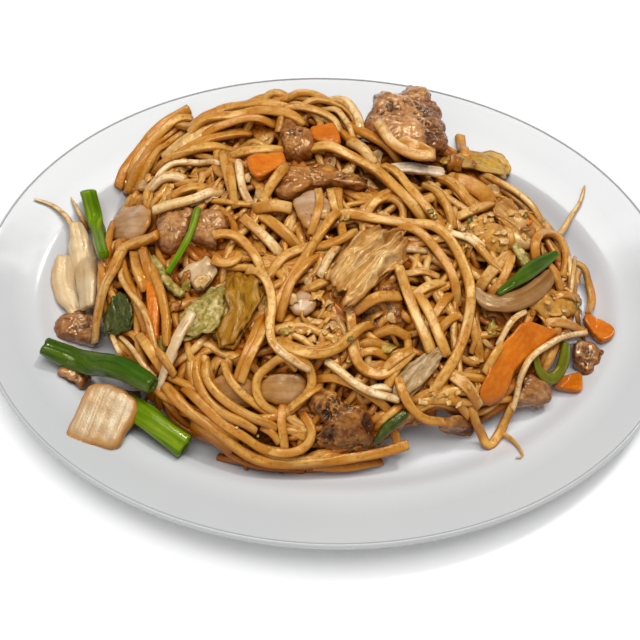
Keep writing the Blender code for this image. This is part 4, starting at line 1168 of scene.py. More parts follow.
def rest_on_bed(plan, width, thickness, sink, lift_limit, dips=(1, 1), bridge=5):
    """Heights of a strand's middle along its plan: the least at which its round underside clears the
    bed, with dips shorter than a bridge spanned, then blurred, and let sink where it crosses. Where an
    end is hidden in the photo it dips in among the others, END_DIP * (1 - t)^1.6 over END_RUN."""
    ahead = np.gradient(plan, axis=0)
    ahead /= np.linalg.norm(ahead, axis=1)[:, None] + 1e-9
    beside = np.stack([-ahead[:, 1], ahead[:, 0]], axis=1)
    offsets = UNDERSIDE * width
    sag = thickness / 2 * np.sqrt(np.clip(1 - (2 * offsets / width) ** 2, 0, 1))
    touch = np.max([bed.at(plan[:, 0] + o * beside[:, 0], plan[:, 1] + o * beside[:, 1]) + s
                    for o, s in zip(offsets, sag)], axis=0)
    spanned = slide(slide(touch, bridge, np.max), bridge, np.min)
    z = smooth_row(spanned, 3.0)
    z = np.maximum(z, touch - sink)
    limit = np.minimum(food_map.at(plan[:, 0], plan[:, 1]) + lift_limit,
                       ceiling.at(plan[:, 0], plan[:, 1]) - thickness / 2)
    z = np.minimum(z, smooth_row(limit, 2.0))
    from_end = np.arange(len(plan), dtype=float)
    for dip, distance in zip(dips, (from_end, from_end[::-1])):
        z = z - dip * END_DIP * np.clip(1.0 - distance / END_RUN, 0.0, 1.0) ** 1.6
    floor_z = plate_map.at(plan[:, 0], plan[:, 1]) + thickness / 2 + 0.1
    z = np.maximum(smooth_row(z, 1.5), floor_z)
    for o, s in zip(offsets, sag):
        bed.change(plan[:, 0] + o * beside[:, 0], plan[:, 1] + o * beside[:, 1], z + s, np.maximum)
    return z


def face_map(*corners):
    """Places on a flat map for rows of faces: each corner is a pair of arrays of like shape."""
    return np.stack([np.stack(np.broadcast_arrays(u, v), axis=-1) for u, v in corners],
                    axis=-2).reshape(-1, 2)


class Strands:
    """Strands gathered for one mesh. Each is a row of rings, like a tube, closed at both ends."""

    def __init__(self, name, spokes):
        self.name, self.spokes = name, spokes
        self.rings, self.tones = [], []

    def add(self, path, width, thickness, square, tone, rng, taper=None, bank=1.0):
        """A tube along a path in mm: superellipse rings |u/w|^p + |v/t|^p = 1 across it, which turn about
        it slowly and whose width wanders by a few percent, closed by a smaller ring at each end."""
        ahead, side, up = frame_along(path, bank)
        roll = 0.8 * bank * value_noise(path + rng.uniform(0, 900), 22.0, 4)[:, None]
        side, up = side * np.cos(roll) + up * np.sin(roll), up * np.cos(roll) - side * np.sin(roll)
        around = np.linspace(0.0, 2.0 * math.pi, self.spokes, endpoint=False)
        if square > 2.5:
            around = around + math.pi / self.spokes
        power = 2.0 / square
        across = np.sign(np.cos(around)) * np.abs(np.cos(around)) ** power * width / 2
        through = np.sign(np.sin(around)) * np.abs(np.sin(around)) ** power * thickness / 2
        wander = 1.0 + 0.07 * value_noise(path + rng.uniform(0, 900), 7.0, 3)
        if taper is not None:
            wander = wander * taper(np.linspace(0.0, 1.0, len(path)))
        rings = (path[:, None] + side[:, None] * (across * wander[:, None])[..., None]
                 + up[:, None] * (through * wander[:, None])[..., None])
        first = path[0] + (rings[0] - path[0]) * 0.72 - ahead[0] * thickness * 0.12
        last = path[-1] + (rings[-1] - path[-1]) * 0.72 + ahead[-1] * thickness * 0.12
        self.rings.append(np.concatenate([first[None], rings, last[None]]))
        self.tones.append(tone)

    def mesh(self):
        """All strands as one mesh. The tone, the run and the underside of each are kept at its points,
        and the strands lie side by side in rows on the flat map that carries their finish."""
        middles = [rings.mean(axis=1) for rings in self.rings]
        alongs = [np.concatenate([[0.0], np.cumsum(np.linalg.norm(np.diff(middle, axis=0), axis=1))])
                  for middle in middles]
        lengths = [along[-1] for along in alongs]
        girth = 1.2 * max(np.linalg.norm(np.diff(rings[len(rings) // 2], axis=0), axis=1).sum()
                          for rings in self.rings)
        row_length = max(math.sqrt(sum(lengths) * girth * 1.12), max(lengths) + 4)
        turned = np.arange(self.spokes) * 2 * math.pi / self.spokes
        side_map, end_map, under, run, tones = [], [], [], [], []
        start, row = 0.0, 0
        for number, (rings, middle, along) in enumerate(zip(self.rings, middles, alongs), 1):
            if start + along[-1] > row_length:
                start, row = 0.0, row + 1
            u = (start + along)[:, None]
            v = (row + 0.05 + 0.9 * np.arange(self.spokes + 1) / self.spokes) * girth
            halfway = (v[:-1] + v[1:]) / 2
            side_map.append(face_map((u[:-1], v[:-1]), (u[:-1], v[1:]), (u[1:], v[1:]), (u[1:], v[:-1])))
            end_map.append(face_map((u[0] - 0.6, halfway), (u[0], v[1:]), (u[0], v[:-1])))
            end_map.append(face_map((u[-1] + 0.6, halfway), (u[-1], v[:-1]), (u[-1], v[1:])))
            offset = rings - middle[:, None]
            reach = np.linalg.norm(offset, axis=-1)
            # under is 0 on a strand's top and 1 on its underside, for the painted shade on its sides and
            # underside
            under.append(0.5 - 0.5 * offset[..., 2] / (reach + 1e-9))
            run.append(np.stack([along[:, None] + 37.0 * number + 0 * reach, reach * np.cos(turned),
                                 reach * np.sin(turned) + 11.0 * number], axis=-1) * MM)
            tones.append(0 * reach + self.tones[number - 1])
            start += along[-1] + 3.0
        piece = closed_rings(self.name, self.rings, tone=tones, under=under, grain=run)
        size = max(row_length, (row + 1) * girth) + 2
        finish_map = (np.concatenate(side_map + end_map) + 1.0) / size
        layer = piece.data.uv_layers.new(name="OFBake")
        layer.uv.foreach_set("vector", finish_map.astype(np.float32).ravel())
        return piece

    def keep_depth(self, piece):
        """How deep each point lies under the top of the laid food, 0 at the top and 1 at 9 mm, which its
        paint turns into painted shade.
        """
        points = np.empty(len(piece.data.vertices) * 3)
        piece.data.vertices.foreach_get("co", points)
        x, y, z = (points.reshape(-1, 3) / MM).T
        around = [bed.at(x + 3.5 * math.cos(a), y + 3.5 * math.sin(a)) for a in np.arange(0, 6.28, 0.785)]
        keep_values(piece, "depth", np.clip((np.mean(around, axis=0) - z) / 9.0, 0.0, 1.0))


def wandering_route(rng, length):
    """A random plan in mm: a heading that drifts by slow sines, bent back inside the heap's foot."""
    s = np.arange(0.0, length, 1.0)
    heading = rng.uniform(0, 2 * math.pi) + rng.uniform(-1.2, 1.2) * s / 60
    for wave in (35.0, 60.0, 110.0):
        bend = rng.uniform(-0.55, 0.55)
        heading = heading + bend * np.sin(2 * math.pi * s / wave + rng.uniform(0, 6.28))
    start_turn = rng.uniform(0, 2 * math.pi)
    start_reach = math.sqrt(rng.uniform(0.0, 1.0)) * 0.95
    x = start_reach * HEAP_HALF_LENGTH * math.cos(start_turn) + np.cumsum(np.cos(heading))
    y = start_reach * HEAP_HALF_WIDTH * math.sin(start_turn) + np.cumsum(np.sin(heading))
    x, y = x - x.mean() * 0.15, y - y.mean() * 0.15
    return smooth_route(held_in(x, y, 0.20)[::6], 1.0)


def foot_route(rng):
    """A plan in mm round part of the heap's foot, its distance in wandering by slow sines."""
    turn = rng.uniform(0, 2 * math.pi) + np.linspace(0.0, rng.uniform(0.5, 1.3) * rng.choice([-1, 1]), 14)
    spread = rng.uniform(0.80, 0.93) + 0.07 * np.sin(turn * rng.uniform(3, 9) + rng.uniform(0, 6.28))
    x, y = np.cos(turn), np.sin(turn)
    reach = spread / heap_spread(x, y + HEAP_CENTRE_Y)
    return smooth_route(held_in(x * reach, y * reach, 0.05), 1.0)


def noodle_paint(name, clean, browned, dark, gold, speck=(0.30, 0.085, 0.004), shine=0.5):
    """Boiled wheat noodle stained with soy sauce: pale to brown by strand, by patch and in streaks along
    it, specked with sauce, with an oily film. Its sides and underside are painted browner and then dark,
    painted shade with some of the sauce that lines them, and it is painted dark where it lies deep:
    painted shade."""
    material, tree, shader, sauce = new_sauced(name, (0.15, 1, 1), shine)
    stain = add_node(tree, "ShaderNodeMath", operation="MULTIPLY_ADD", inputs={1: 0.40})
    tree.links.new(sauce["Stain"], stain.inputs[0])
    tree.links.new(kept(tree, "tone"), stain.inputs[2])
    colour = layered(tree, clean,
                     (stain.outputs[0], 0.0, 0.55, 1, gold),
                     (stain.outputs[0], 0.45, 1.25, 1, browned),
                     (sauce["Streak"], 0.25, 0.85, 0.80, browned),
                     (sauce["Fleck"], 0.35, 0.90, 0.65, speck),
                     # painted shade: the sides and underside of each strand browner and darker, and the
                     # deep strands dark
                     (kept(tree, "under"), 0.18, 0.40, 0.85, browned),
                     (kept(tree, "under"), 0.38, 0.64, 0.85, dark),
                     (kept(tree, "depth"), 0.06, 0.50, 0.92, dark))
    tree.links.new(colour, shader.inputs["Base Color"])
    tree.links.new(sauce["Gloss"], shader.inputs["Roughness"])
    add_bump(tree, sauce["Height"], 0.0004, shader)
    return material


# The third colour, dark, is the painted shade of the strands' sides, undersides and deep places.
NOODLE = noodle_paint("sauced_noodle", (0.635, 0.445, 0.210), (0.40, 0.140, 0.009), (0.30, 0.070, 0.0015),
                      (0.58, 0.325, 0.078))


def lay(strands, plan, width, thickness, square, tone, rng, sink=0.9, lift=5.0, taper=None, step=1.6,
        dips=(1, 1), bank=1.0):
    """Lay one strand on the bed along its plan, whose points are 1 mm apart, and add it to its mesh. It
    sinks by up to so many mm where it crosses another, and stays under the food's top plus a lift."""
    z = rest_on_bed(plan, width, thickness, sink, lift, dips)
    path = smooth_route(np.column_stack([plan, z])[::2], step)
    strands.add(path, width, thickness, square, tone, rng, taper, bank)


# How far each layer may rise over the heap's top, here always below it, and how many noodles it has.
LAYERS = ((-6.0, 55), (-3.5, 55), (-1.0, 55))
FOOT_NOODLES = 14
rng = np.random.default_rng(11)
keep_under(buried_lid, lid)
deep_noodles = Strands("noodles_deep", 8)
for limit, count in LAYERS:
    for _ in range(count):
        plan = wandering_route(rng, rng.uniform(70, 170))
        lay(deep_noodles, plan, NOODLE_WIDTH * rng.uniform(0.7, 1.05), 3.2, 2.3, rng.uniform(0.1, 0.8),
            rng, sink=2.0, lift=limit, step=2.6)
    for _ in range(FOOT_NOODLES):
        lay(deep_noodles, foot_route(rng), NOODLE_WIDTH * rng.uniform(0.85, 1.1), 3.4, 2.3,
            rng.uniform(0.2, 0.9), rng, sink=2.0, lift=limit + 4.0, step=2.6)
bed.height = np.maximum(bed.height, buried_lid.height)
keep_under(lid)


# ------------------------------------------------------------------------------ scraps under the noodles
# Torn scraps of cabbage and slips of onion, tossed with the noodles, lie all through the heap and show
# between the strands. Each is thin, and hangs over the strands under it.
SCRAP_COUNT = 130
BIT_COLOURS = ((0.0, (0.24, 0.075, 0.006)), (0.2, (0.56, 0.31, 0.080)), (0.4, (0.60, 0.39, 0.16)),
               (0.6, (0.020, 0.070, 0.004)), (0.8, (0.55, 0.13, 0.004)), (0.95, (0.36, 0.27, 0.055)))
# The tones that give these colours, in the same order.
BROWN_BIT, GOLD_BIT, CREAM_BIT, GREEN_BIT, CARROT_BIT, PALE_BIT = 0.1, 0.3, 0.5, 0.7, 0.9, 0.97


def flake(rng, size, spokes=8, thick=(0.25, 0.6)):
    """Rings of a chopped bit about its middle, size mm across: a flat lens whose outline has a random
    reach at each spoke, turned and tilted at random."""
    around = np.linspace(0, 2 * math.pi, spokes, endpoint=False)
    lean = np.array([-1.35, -0.75, 0.0, 0.75, 1.35])
    reach = np.cos(lean)[:, None] ** 0.6 * rng.uniform(0.5, 1.0, spokes)
    ring = np.stack([reach * np.cos(around), reach * np.sin(around),
                     np.sin(lean)[:, None] * rng.uniform(*thick, spokes)], axis=-1)
    ring = ring * (size / 2 * np.array([1.0, rng.uniform(0.45, 1.0), 1.0]))
    turn, tilt = rng.uniform(0, 2 * math.pi), rng.uniform(-0.5, 0.5)
    x, y, z = np.moveaxis(ring, -1, 0)
    y, z = y * math.cos(tilt) - z * math.sin(tilt), y * math.sin(tilt) + z * math.cos(tilt)
    return np.stack([x * math.cos(turn) - y * math.sin(turn), x * math.sin(turn) + y * math.cos(turn), z],
                    axis=-1)


def bits_paint(name, rough):
    """Chopped vegetables: each bit in the plain colour of its tone, with patches of brown sauce."""
    material, tree, shader = new_material(name)
    place = add_node(tree, "ShaderNodeTexCoord").outputs["Object"]
    ramp = add_node(tree, "ShaderNodeValToRGB")
    ramp.color_ramp.interpolation = "CONSTANT"
    stops = ramp.color_ramp.elements
    stops.remove(stops[1])
    stops[0].color = (*BIT_COLOURS[0][1], 1)
    for position, colour in BIT_COLOURS[1:]:
        stops.new(position).color = (*colour, 1)
    tree.links.new(kept(tree, "tone"), ramp.inputs["Fac"])
    patches = add_ramp(tree, add_noise(tree, place, 380.0, 3.0, 0.6), 0.38, 0.66, 0.0, 0.7)
    tree.links.new(add_mix(tree, patches, ramp.outputs["Color"], (0.30, 0.10, 0.008)),
                   shader.inputs["Base Color"])
    shader.inputs["Roughness"].default_value = rough
    shader.inputs["Specular Tint"].default_value = OILY
    add_bump(tree, add_noise(tree, place, 700.0, 3.0), 0.0004, shader)
    return material


scrap_rng = np.random.default_rng(41)
scraps, scrap_tones = [], []
for _ in range(SCRAP_COUNT):
    turn, reach = scrap_rng.uniform(0, 2 * math.pi), math.sqrt(scrap_rng.uniform(0, 1)) * 0.85
    x, y = held_in(np.array([reach * HEAP_HALF_LENGTH * math.cos(turn)]),
                   np.array([reach * HEAP_HALF_WIDTH * math.sin(turn)]), 0.15)[0]
    scrap = flake(scrap_rng, scrap_rng.uniform(5.0, 11.0), 14, (0.06, 0.14)) + (x, y, 0.0)
    scrap[..., 2] += 0.6 * bed.at(scrap[..., 0], scrap[..., 1]) + 0.4 * bed.at(x, y) + 1.2
    lift_off_plate(scrap, 0.3)
    scraps.append(scrap)
    tone = scrap_rng.choice([BROWN_BIT, GOLD_BIT, CREAM_BIT, PALE_BIT], p=[0.20, 0.35, 0.35, 0.10])
    scrap_tones.append(np.full(scrap.shape[:2], tone))
    bed.change(scrap[..., 0].ravel(), scrap[..., 1].ravel(), scrap[..., 2].ravel(), np.maximum)
leaf_scraps = closed_rings("leaf_scraps", scraps, tone=scrap_tones)
leaf_scraps.data.materials.append(bits_paint("wet_scraps", 0.22))
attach(leaf_scraps, "root")


# ------------------------------------------------------------------------------ noodles on top
# The same noodles where they show from above, in the order they lie, the lowest first: how browned each
# is, its width in mm, and its route in the picture. An end that shows is marked and has no dip. The
# first ones run under the beef and vegetables.
rng = np.random.default_rng(12)
UNDER_PIECES = (
    (0.25, 5.3, ((190, 303), (180, 325), (168, 348))),
    (0.25, 5.2, ((478, 287), (490, 272), (502, 260), (511, 252))),
    (0.45, 4.0, ((488, 295), (500, 281), (513, 269))),
    (0.55, 4.2, ((466, 300), (475, 325), (484, 352))),
    (0.40, 3.8, ((505, 222), (511, 240), (511, 258), (505, 275), (497, 288))),
    (0.80, 3.8, ((315, 373), (335, 378), (358, 388), (380, 402), (392, 412))),
    (0.85, 4.4, ((162, 166), (185, 152), (205, 142), (228, 134), (250, 128))),
    (0.45, 4.2, ((150, 170), (170, 160), (190, 152), (215, 145), (232, 140))),
    (0.50, 3.8, ((222, 150), (226, 170), (232, 190), (236, 204))),
    (0.60, 3.6, ((228, 160), (232, 180), (234, 200))),
    (0.70, 3.8, ((436, 331), (448, 320), (463, 311))),
    (0.50, 4.0, ((430, 320), (440, 307), (452, 290))),
)
FAR_LEFT = (
    (0.95, 5.6, ((128, 192), (137, 176), (147, 160), (158, 146), (172, 131), (186, 121))),
    (0.90, 4.6, ((118, 187), (124, 172), (135, 157), (148, 141), (162, 127), (176, 116), (191, 108))),
    (0.50, 4.2, ((128, 182), (140, 162), (152, 147), (165, 134), (178, 124), (194, 118))),
    (0.75, 3.8, ((140, 182), (150, 168), (158, 152), (168, 140))),
    (0.55, 4.3, ((175, 125), (192, 124), (208, 116), (230, 108), (255, 106), (280, 108), (300, 111))),
    (0.45, 4.2, ((190, 132), (205, 122), (230, 118), (255, 115), (285, 118), (305, 124))),
    (1.00, 3.6, ((200, 138), (225, 128), (250, 123), (275, 124))),
    (0.50, 4.0, ((168, 197), (185, 190), (207, 181))),
    (0.45, 4.4, ((232, 141), (250, 138), (270, 141))),
    (0.50, 4.4, ((231, 153), (250, 150), (270, 149), (284, 148))),
)
FAR = (
    (0.75, 4.6, ((343, 130), (350, 138), (361, 148), (372, 160), (382, 172))),
    (0.85, 4.6, ((348, 122), (358, 133), (371, 141), (386, 150), (400, 162))),
    (0.45, 4.0, ((262, 105), (268, 99), (278, 97), (292, 99))),
    (0.55, 4.2, ((283, 100), (300, 97), (318, 98), (336, 102))),
    (0.20, 3.4, ((278, 130), (284, 116), (298, 110), (315, 112), (330, 119), (341, 130))),
    (0.30, 3.4, ((300, 104), (320, 102), (338, 108), (352, 120), (360, 134))),
    (0.45, 4.4, ((262, 200), (270, 188), (280, 176), (286, 166))),
    (0.50, 4.0, ((425, 180), (438, 192), (447, 205), (455, 226))),
    (0.35, 4.4, ((312, 148), (335, 151), (357, 160), (378, 172), (395, 187), (412, 203), (426, 214))),
    (0.40, 4.0, ((384, 165), (400, 177), (415, 193), (432, 210), (447, 228))),
    (0.55, 4.6, ((440, 176), (455, 188), (468, 200), (480, 208))),
    (0.35, 4.2, ((455, 213), (470, 210), (485, 205), (494, 200))),
    (0.60, 4.4, ((460, 136), (464, 150), (467, 160)), "first"),
    (0.25, 3.8, ((363, 217), (376, 202), (392, 191))),
    (0.45, 3.6, ((330, 190), (333, 203), (337, 214))),
    (0.50, 3.6, ((318, 190), (320, 205), (316, 220), (310, 235))),
)
OVER_BEEF = (
    (0.30, 6.0, ((398, 139), (412, 146), (426, 150), (436, 151))),
    (0.00, 4.8, ((376, 118), (382, 128), (390, 139), (402, 148), (417, 154), (433, 156)), "last"),
)
MIDDLE = (
    (0.35, 5.2, ((255, 207), (272, 208), (292, 206))),
    (0.45, 5.0, ((262, 215), (282, 231), (300, 245))),
    (0.02, 4.4, ((243, 218), (262, 236), (282, 254)), "first"),
    (0.90, 3.8, ((262, 312), (254, 335), (243, 362), (234, 386))),
    (0.45, 3.6, ((268, 314), (262, 335), (250, 360), (240, 384))),
    (0.35, 4.2, ((268, 273), (285, 257), (305, 249), (325, 244), (345, 237), (356, 230))),
    (0.45, 4.0, ((338, 212), (325, 229), (312, 249), (300, 266), (290, 281), (280, 298), (273, 314))),
    (0.80, 3.8, ((318, 252), (305, 268), (292, 285), (284, 305), (279, 318))),
    (0.30, 4.2, ((303, 285), (315, 286), (329, 279))),
    (0.35, 3.8, ((350, 310), (352, 330), (356, 350), (359, 364))),
    (0.60, 4.8, ((355, 311), (375, 302), (401, 292))),
    (0.50, 3.6, ((357, 343), (372, 341), (388, 344))),
    (0.50, 3.6, ((357, 353), (372, 351), (388, 355))),
    (0.45, 3.6, ((362, 363), (372, 362), (384, 365))),
    (0.65, 4.2, ((375, 331), (392, 328), (410, 333))),
    (0.60, 3.6, ((283, 332), (290, 344), (305, 350), (322, 350), (334, 345))),
    (0.45, 4.2, ((279, 335), (285, 348), (300, 356), (318, 357), (335, 351), (350, 340), (362, 328),
                 (372, 320))),
    (0.35, 4.2, ((352, 342), (354, 356), (362, 369), (378, 376), (392, 371), (405, 359), (416, 344))),
    (0.35, 4.0, ((214, 240), (225, 236), (238, 239), (250, 250), (258, 262), (263, 274)), "first"),
    (0.40, 4.2, ((213, 262), (226, 264), (236, 258), (240, 248)), "first"),
    (0.20, 3.8, ((247, 268), (258, 272), (268, 285), (272, 305), (270, 325), (272, 343), (283, 358),
                 (298, 370))),
    (0.35, 4.4, ((336, 213), (355, 216), (385, 220), (415, 223), (432, 225), (447, 236), (460, 256),
                 (468, 280), (470, 305), (466, 328), (457, 352), (443, 378), (430, 396))),
    (0.55, 4.0, ((400, 226), (418, 232), (433, 244), (446, 262), (455, 282), (459, 300))),
)
RIGHT = (
    (0.20, 3.0, ((405, 271), (422, 271), (441, 274))),
    (0.35, 4.4, ((414, 285), (428, 312), (440, 340), (448, 356))),
    (0.20, 4.6, ((395, 262), (408, 292), (420, 325), (432, 352))),
    (0.30, 4.2, ((412, 293), (430, 286), (447, 279))),
    (0.65, 4.2, ((536, 262), (534, 247), (540, 236), (550, 232), (560, 238), (566, 250), (567, 262),
                 (563, 276))),
    (0.50, 3.6, ((572, 255), (584, 264), (592, 280), (594, 297), (589, 311)), "last"),
    (0.25, 4.2, ((545, 320), (565, 325), (588, 331))),
    (0.45, 3.6, ((485, 372), (495, 356), (505, 342))),
    (0.35, 4.2, ((380, 375), (396, 361), (415, 345))),
    (0.40, 4.2, ((470, 398), (474, 420), (480, 438), (489, 446), (499, 434), (508, 414), (516, 398))),
    (0.40, 4.4, ((443, 388), (455, 402), (468, 416))),
    (0.15, 5.0, ((452, 372), (465, 388), (480, 409))),
    (0.50, 4.0, ((388, 385), (394, 374), (400, 364))),
    (0.35, 4.0, ((398, 373), (401, 392), (411, 411), (427, 424), (446, 421))),
    (0.60, 3.8, ((392, 424), (396, 435), (397, 447))),
    (0.40, 3.8, ((470, 233), (480, 248), (492, 262), (504, 270))),
    (0.50, 3.4, ((548, 262), (554, 275), (561, 290))),
    (0.30, 3.2, ((577, 300), (565, 296), (552, 297))),
)
LEFT = (
    (0.80, 3.2, ((113, 222), (110, 245), (107, 265))),
    (0.60, 3.0, ((100, 262), (104, 280), (100, 297))),
    (0.15, 2.8, ((122, 262), (121, 276), (129, 292), (144, 312), (152, 335), (160, 370))),
    (0.75, 3.8, ((148, 262), (156, 280), (162, 297), (166, 318), (167, 345))),
    (0.25, 4.8, ((125, 245), (117, 265), (106, 288), (99, 315), (95, 343))),
    (0.30, 4.8, ((124, 246), (142, 241), (160, 236)), "last"),
    (0.25, 4.0, ((190, 350), (190, 368), (193, 386))),
    (0.55, 4.4, ((133, 250), (138, 272), (146, 292))),
    (0.75, 4.2, ((143, 250), (148, 270), (153, 287))),
    (0.50, 4.5, ((140, 335), (150, 352), (163, 370))),
    (0.65, 3.6, ((150, 345), (165, 362), (176, 378))),
)
FRONT = (
    (0.87, 4.2, ((175, 392), (188, 412), (212, 427), (240, 442))),
    (0.57, 3.8, ((196, 348), (196, 372), (206, 398), (228, 419), (258, 431))),
    (0.47, 3.8, ((204, 350), (206, 375), (216, 393), (234, 408), (254, 420), (276, 427))),
    (0.32, 3.4, ((222, 352), (228, 375), (240, 392), (257, 405), (275, 413))),
    (0.62, 4.0, ((183, 385), (200, 405), (222, 425), (245, 440), (268, 452), (300, 453))),
    (0.52, 4.6, ((165, 385), (180, 405), (200, 422), (222, 439), (245, 456), (265, 465), (290, 467),
                 (320, 465), (355, 460), (385, 454), (407, 448)), "last"),
    (0.97, 3.6, ((313, 470), (345, 470), (368, 466), (384, 460)), "first"),
    (0.72, 3.4, ((262, 426), (272, 433), (279, 442))),
    (0.62, 3.4, ((285, 425), (297, 432), (306, 437))),
    (0.42, 3.8, ((278, 412), (262, 404), (256, 389), (260, 373), (275, 363), (295, 361), (308, 368),
                 (312, 382), (306, 396), (295, 406), (283, 413))),
    (0.62, 3.8, ((303, 411), (311, 427), (310, 443), (298, 454), (279, 456), (262, 447))),
    (0.52, 3.8, ((284, 400), (281, 415), (283, 435), (285, 453))),
    (0.52, 3.6, ((290, 408), (305, 399), (315, 389), (323, 384))),
)
FLAT_STRIPS = (
    (0.85, 7.5, ((455, 180), (470, 184), (484, 191), (492, 198))),
    (0.90, 6.5, ((192, 424), (205, 434), (220, 444), (232, 449))),
)
top_noodles = Strands("noodles_top", 12)


def lay_rows(strands, rows, rng, thickness=0.70, square=4.6, sink=0.9, lift=5.5, taper=None, above=2.0,
             bank=1.0):
    """Lay the strands of a table along their sight lines, so far above the food, with a thickness that is
    a share of their width."""
    for tone, width, route, *shown in rows:
        plan = smooth_route(on_food(route, above)[:, :2], 1.0)
        lay(strands, plan, width, width * thickness * rng.uniform(0.92, 1.05),
            square * rng.uniform(0.8, 1.15), tone, rng, sink, lift, taper,
            dips=("first" not in shown, "last" not in shown), bank=bank)


lay_rows(top_noodles, UNDER_PIECES, rng, lift=3.0)


# ------------------------------------------------------------------------------ shreds
# Torn shreds of cabbage and egg, flat and curled, caught among the noodles: where in the picture, how
# far spread, how many, and how browned at least and at most.
SHRED_PATCHES = (
    ((540, 300), 22, 17, 0.1, 0.8), ((520, 225), 18, 12, 0.2, 0.8), ((490, 240), 22, 17, 0.1, 0.9),
    ((560, 285), 18, 12, 0.0, 0.6), ((445, 185), 22, 10, 0.4, 1.0), ((470, 225), 16, 10, 0.1, 0.6),
    ((345, 150), 14, 7, 0.1, 0.6), ((225, 175), 20, 10, 0.1, 0.7), ((180, 290), 18, 7, 0.2, 0.8),
    ((320, 325), 20, 14, 0.0, 0.9), ((425, 385), 22, 17, 0.0, 0.8), ((450, 360), 20, 10, 0.1, 0.7),
    ((270, 440), 20, 7, 0.3, 0.9), ((150, 380), 14, 6, 0.4, 1.0), ((505, 315), 20, 12, 0.2, 0.8),
    ((375, 255), 30, 12, 0.0, 0.5), ((400, 310), 20, 7, 0.5, 1.0), ((220, 350), 20, 6, 0.2, 0.7),
    ((230, 215), 16, 6, 0.3, 0.9), ((150, 160), 16, 5, 0.3, 0.8),
)
# Its third colour is the painted shade of the strands' sides, undersides and deep places.
SHRED_PAINT = noodle_paint("torn_shred", (0.70, 0.47, 0.20), (0.40, 0.15, 0.018), (0.18, 0.045, 0.002),
                           (0.66, 0.38, 0.11))
shreds = Strands("cabbage_shreds", 8)
for centre, spread, count, least, most in SHRED_PATCHES:
    for _ in range(count):
        start = on_food([np.array(centre) + rng.normal(0, spread * 0.55, 2)])[0][:2]
        heading = rng.uniform(0, 2 * math.pi) + np.cumsum(rng.normal(0, 0.35, 7))
        stride = rng.uniform(1.2, 2.6)
        plan = start + np.cumsum(np.stack([np.cos(heading), np.sin(heading)], axis=1) * stride, axis=0)
        lay(shreds, smooth_route(plan, 0.8), rng.uniform(1.4, 4.2), rng.uniform(0.7, 1.4), 2.2,
            0.3 + 0.7 * rng.uniform(least, most), rng, sink=0.6, lift=2.0, step=0.9)

# From here on the beef and vegetables count as laid, so that the strands that follow lie over them.
bed.height = np.maximum(bed.height, lid.height)
keep_under()
for group in (FAR_LEFT, FAR, LEFT, MIDDLE, RIGHT, FRONT):
    lay_rows(top_noodles, group, rng)
lay_rows(top_noodles, FLAT_STRIPS, rng, thickness=0.35)
lay_rows(top_noodles, OVER_BEEF, rng, lift=19.0, above=12.0, thickness=0.55, bank=-0.4)


# ------------------------------------------------------------------------------ bean sprouts
# White glassy sprouts, thinner than the noodles and a little stained, tossed with them at the end. Some
# keep their fine tails, which lie out over the plate.
SPROUT_ROWS = (
    (0.15, 3.2, ((150, 187), (165, 172), (178, 164), (200, 160), (222, 162))),
    (0.30, 4.8, ((155, 212), (175, 207), (195, 200), (210, 192), (222, 186))),
    (0.25, 5.0, ((148, 190), (160, 182), (172, 178), (186, 176))),
    (0.05, 4.0, ((238, 158), (240, 175), (243, 188), (250, 198))),
    (0.10, 3.4, ((272, 343), (283, 358), (298, 368), (312, 372))),
    (0.20, 4.0, ((338, 246), (328, 262), (320, 277))),
    (0.10, 3.2, ((405, 250), (426, 247))),
    (0.15, 3.6, ((327, 360), (340, 373), (357, 388), (378, 398), (400, 402))),
    (0.05, 3.4, ((368, 391), (380, 388), (393, 389))),
    (0.30, 2.4, ((112, 335), (118, 350), (122, 358))),
    (0.25, 2.4, ((120, 335), (132, 350), (145, 370), (158, 380))),
    (0.25, 3.0, ((585, 334), (570, 337), (550, 348), (530, 362), (520, 380), (516, 398), (512, 410))),
    (0.50, 2.2, ((568, 250), (570, 270), (571, 292))),
    (0.55, 2.0, ((576, 255), (572, 275), (570, 300))),
    (0.20, 3.0, ((440, 226), (455, 235), (468, 240), (483, 250))),
    (0.10, 2.6, ((462, 232), (474, 238), (484, 246))),
    (0.35, 2.6, ((498, 345), (510, 325), (525, 312))),
    (0.30, 4.4, ((328, 102), (345, 108), (356, 122), (361, 138))),
    (0.60, 3.4, ((322, 108), (338, 115), (350, 130), (355, 142))),
    (0.70, 5.0, ((350, 141), (362, 152), (375, 164))),
)
TAIL_ROWS = (
    (0.40, 3.0, ((76, 238), (71, 225), (62, 213), (50, 204), (32, 198))),
    (0.35, 2.6, ((88, 232), (80, 215), (70, 195))),
    (0.35, 3.6, ((556, 234), (570, 218), (580, 202), (585, 184))),
    (0.80, 2.2, ((498, 430), (512, 440), (521, 450), (523, 456), (514, 457))),
)
# Its third colour is the painted shade of the strands' sides, undersides and deep places.
SPROUT_PAINT = noodle_paint("glassy_sprout", (0.72, 0.58, 0.37), (0.50, 0.24, 0.05), (0.24, 0.08, 0.006),
                            (0.70, 0.50, 0.24))
sprouts = Strands("bean_sprouts", 10)
lay_rows(sprouts, SPROUT_ROWS, rng, thickness=0.85, square=2.2, sink=0.5, lift=7.0)
lay_rows(sprouts, [(*row, "last") for row in TAIL_ROWS], rng, thickness=0.85, square=2.0, sink=0.3,
         lift=7.0, taper=lambda t: 0.25 + 0.75 * np.clip(1.0 - t, 0, 1) ** 0.6)


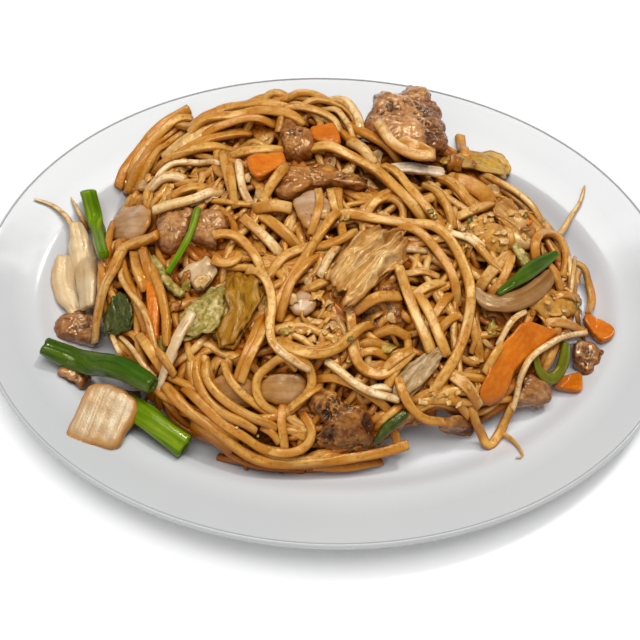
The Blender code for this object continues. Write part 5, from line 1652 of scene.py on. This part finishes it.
# ------------------------------------------------------------------------------ chopped bits
# Bits of cabbage, egg, onion and scallion chopped fine, scattered last and stuck on by the sauce: the
# middle of each patch in the picture, how far spread, how many, and the largest in mm.
BIT_PATCHES = (
    ((545, 300), 17, 20, 6.0), ((560, 285), 12, 6, 5.0), ((490, 240), 16, 12, 6.0),
    ((520, 228), 14, 7, 5.5), ((325, 328), 15, 12, 6.0), ((452, 408), 14, 9, 5.5),
    ((430, 390), 14, 9, 5.0), ((505, 320), 14, 8, 5.5), ((450, 195), 16, 5, 4.5),
    ((180, 275), 16, 4, 5.0), ((470, 225), 12, 6, 5.0), ((300, 250), 80, 16, 2.4),
    ((250, 400), 60, 8, 2.4), ((450, 330), 50, 8, 2.4),
)
GREEN_BITS = ((435, 218), (430, 213), (440, 224), (468, 228), (470, 222), (525, 218), (577, 308),
              (573, 303), (580, 314), (350, 345))
bits_rng = np.random.default_rng(31)
bits, bit_tones = [], []


def drop_bit(x, y, size, tone):
    """Lay a bit on the bed, but not on a piece of its own nor out on the bare plate."""
    if lid.at(x, y) < NO_LID + 10 and bed.at(x, y) > plate_map.at(x, y) + 5:
        bits.append(flake(bits_rng, size, 12, (0.10, 0.25)) + (x, y, bed.at(x, y) + 0.1 * size))
        bit_tones.append(np.full(bits[-1].shape[:2], tone))


for centre, spread, count, largest in BIT_PATCHES:
    for _ in range(count):
        x, y, _ = on_food([np.array(centre) + bits_rng.normal(0, spread * 0.6, 2)])[0]
        drop_bit(x, y, largest * bits_rng.uniform(0.4, 1.0),
                 bits_rng.choice([BROWN_BIT, GOLD_BIT, CREAM_BIT, CARROT_BIT], p=[0.17, 0.44, 0.36, 0.03]))
for pixel in GREEN_BITS:
    x, y, _ = on_food([pixel])[0]
    drop_bit(x, y, 4.0, GREEN_BIT)
crumbs = closed_rings("crumbs", bits, tone=bit_tones)
crumbs.data.materials.append(bits_paint("chopped_bits", 0.28))
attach(crumbs, "root")


# ------------------------------------------------------------------------------ strands
# The noodles, sprouts and shreds become meshes last, because the painted shade that darkens a strand
# depends on how deep it lies under everything laid over it.
for strands, paint, slot in ((deep_noodles, NOODLE, "noodles"), (top_noodles, NOODLE, "noodles"),
                             (sprouts, SPROUT_PAINT, "onion"), (shreds, SHRED_PAINT, "cabbage")):
    piece = strands.mesh()
    strands.keep_depth(piece)
    piece.data.materials.append(paint)
    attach(piece, "root")
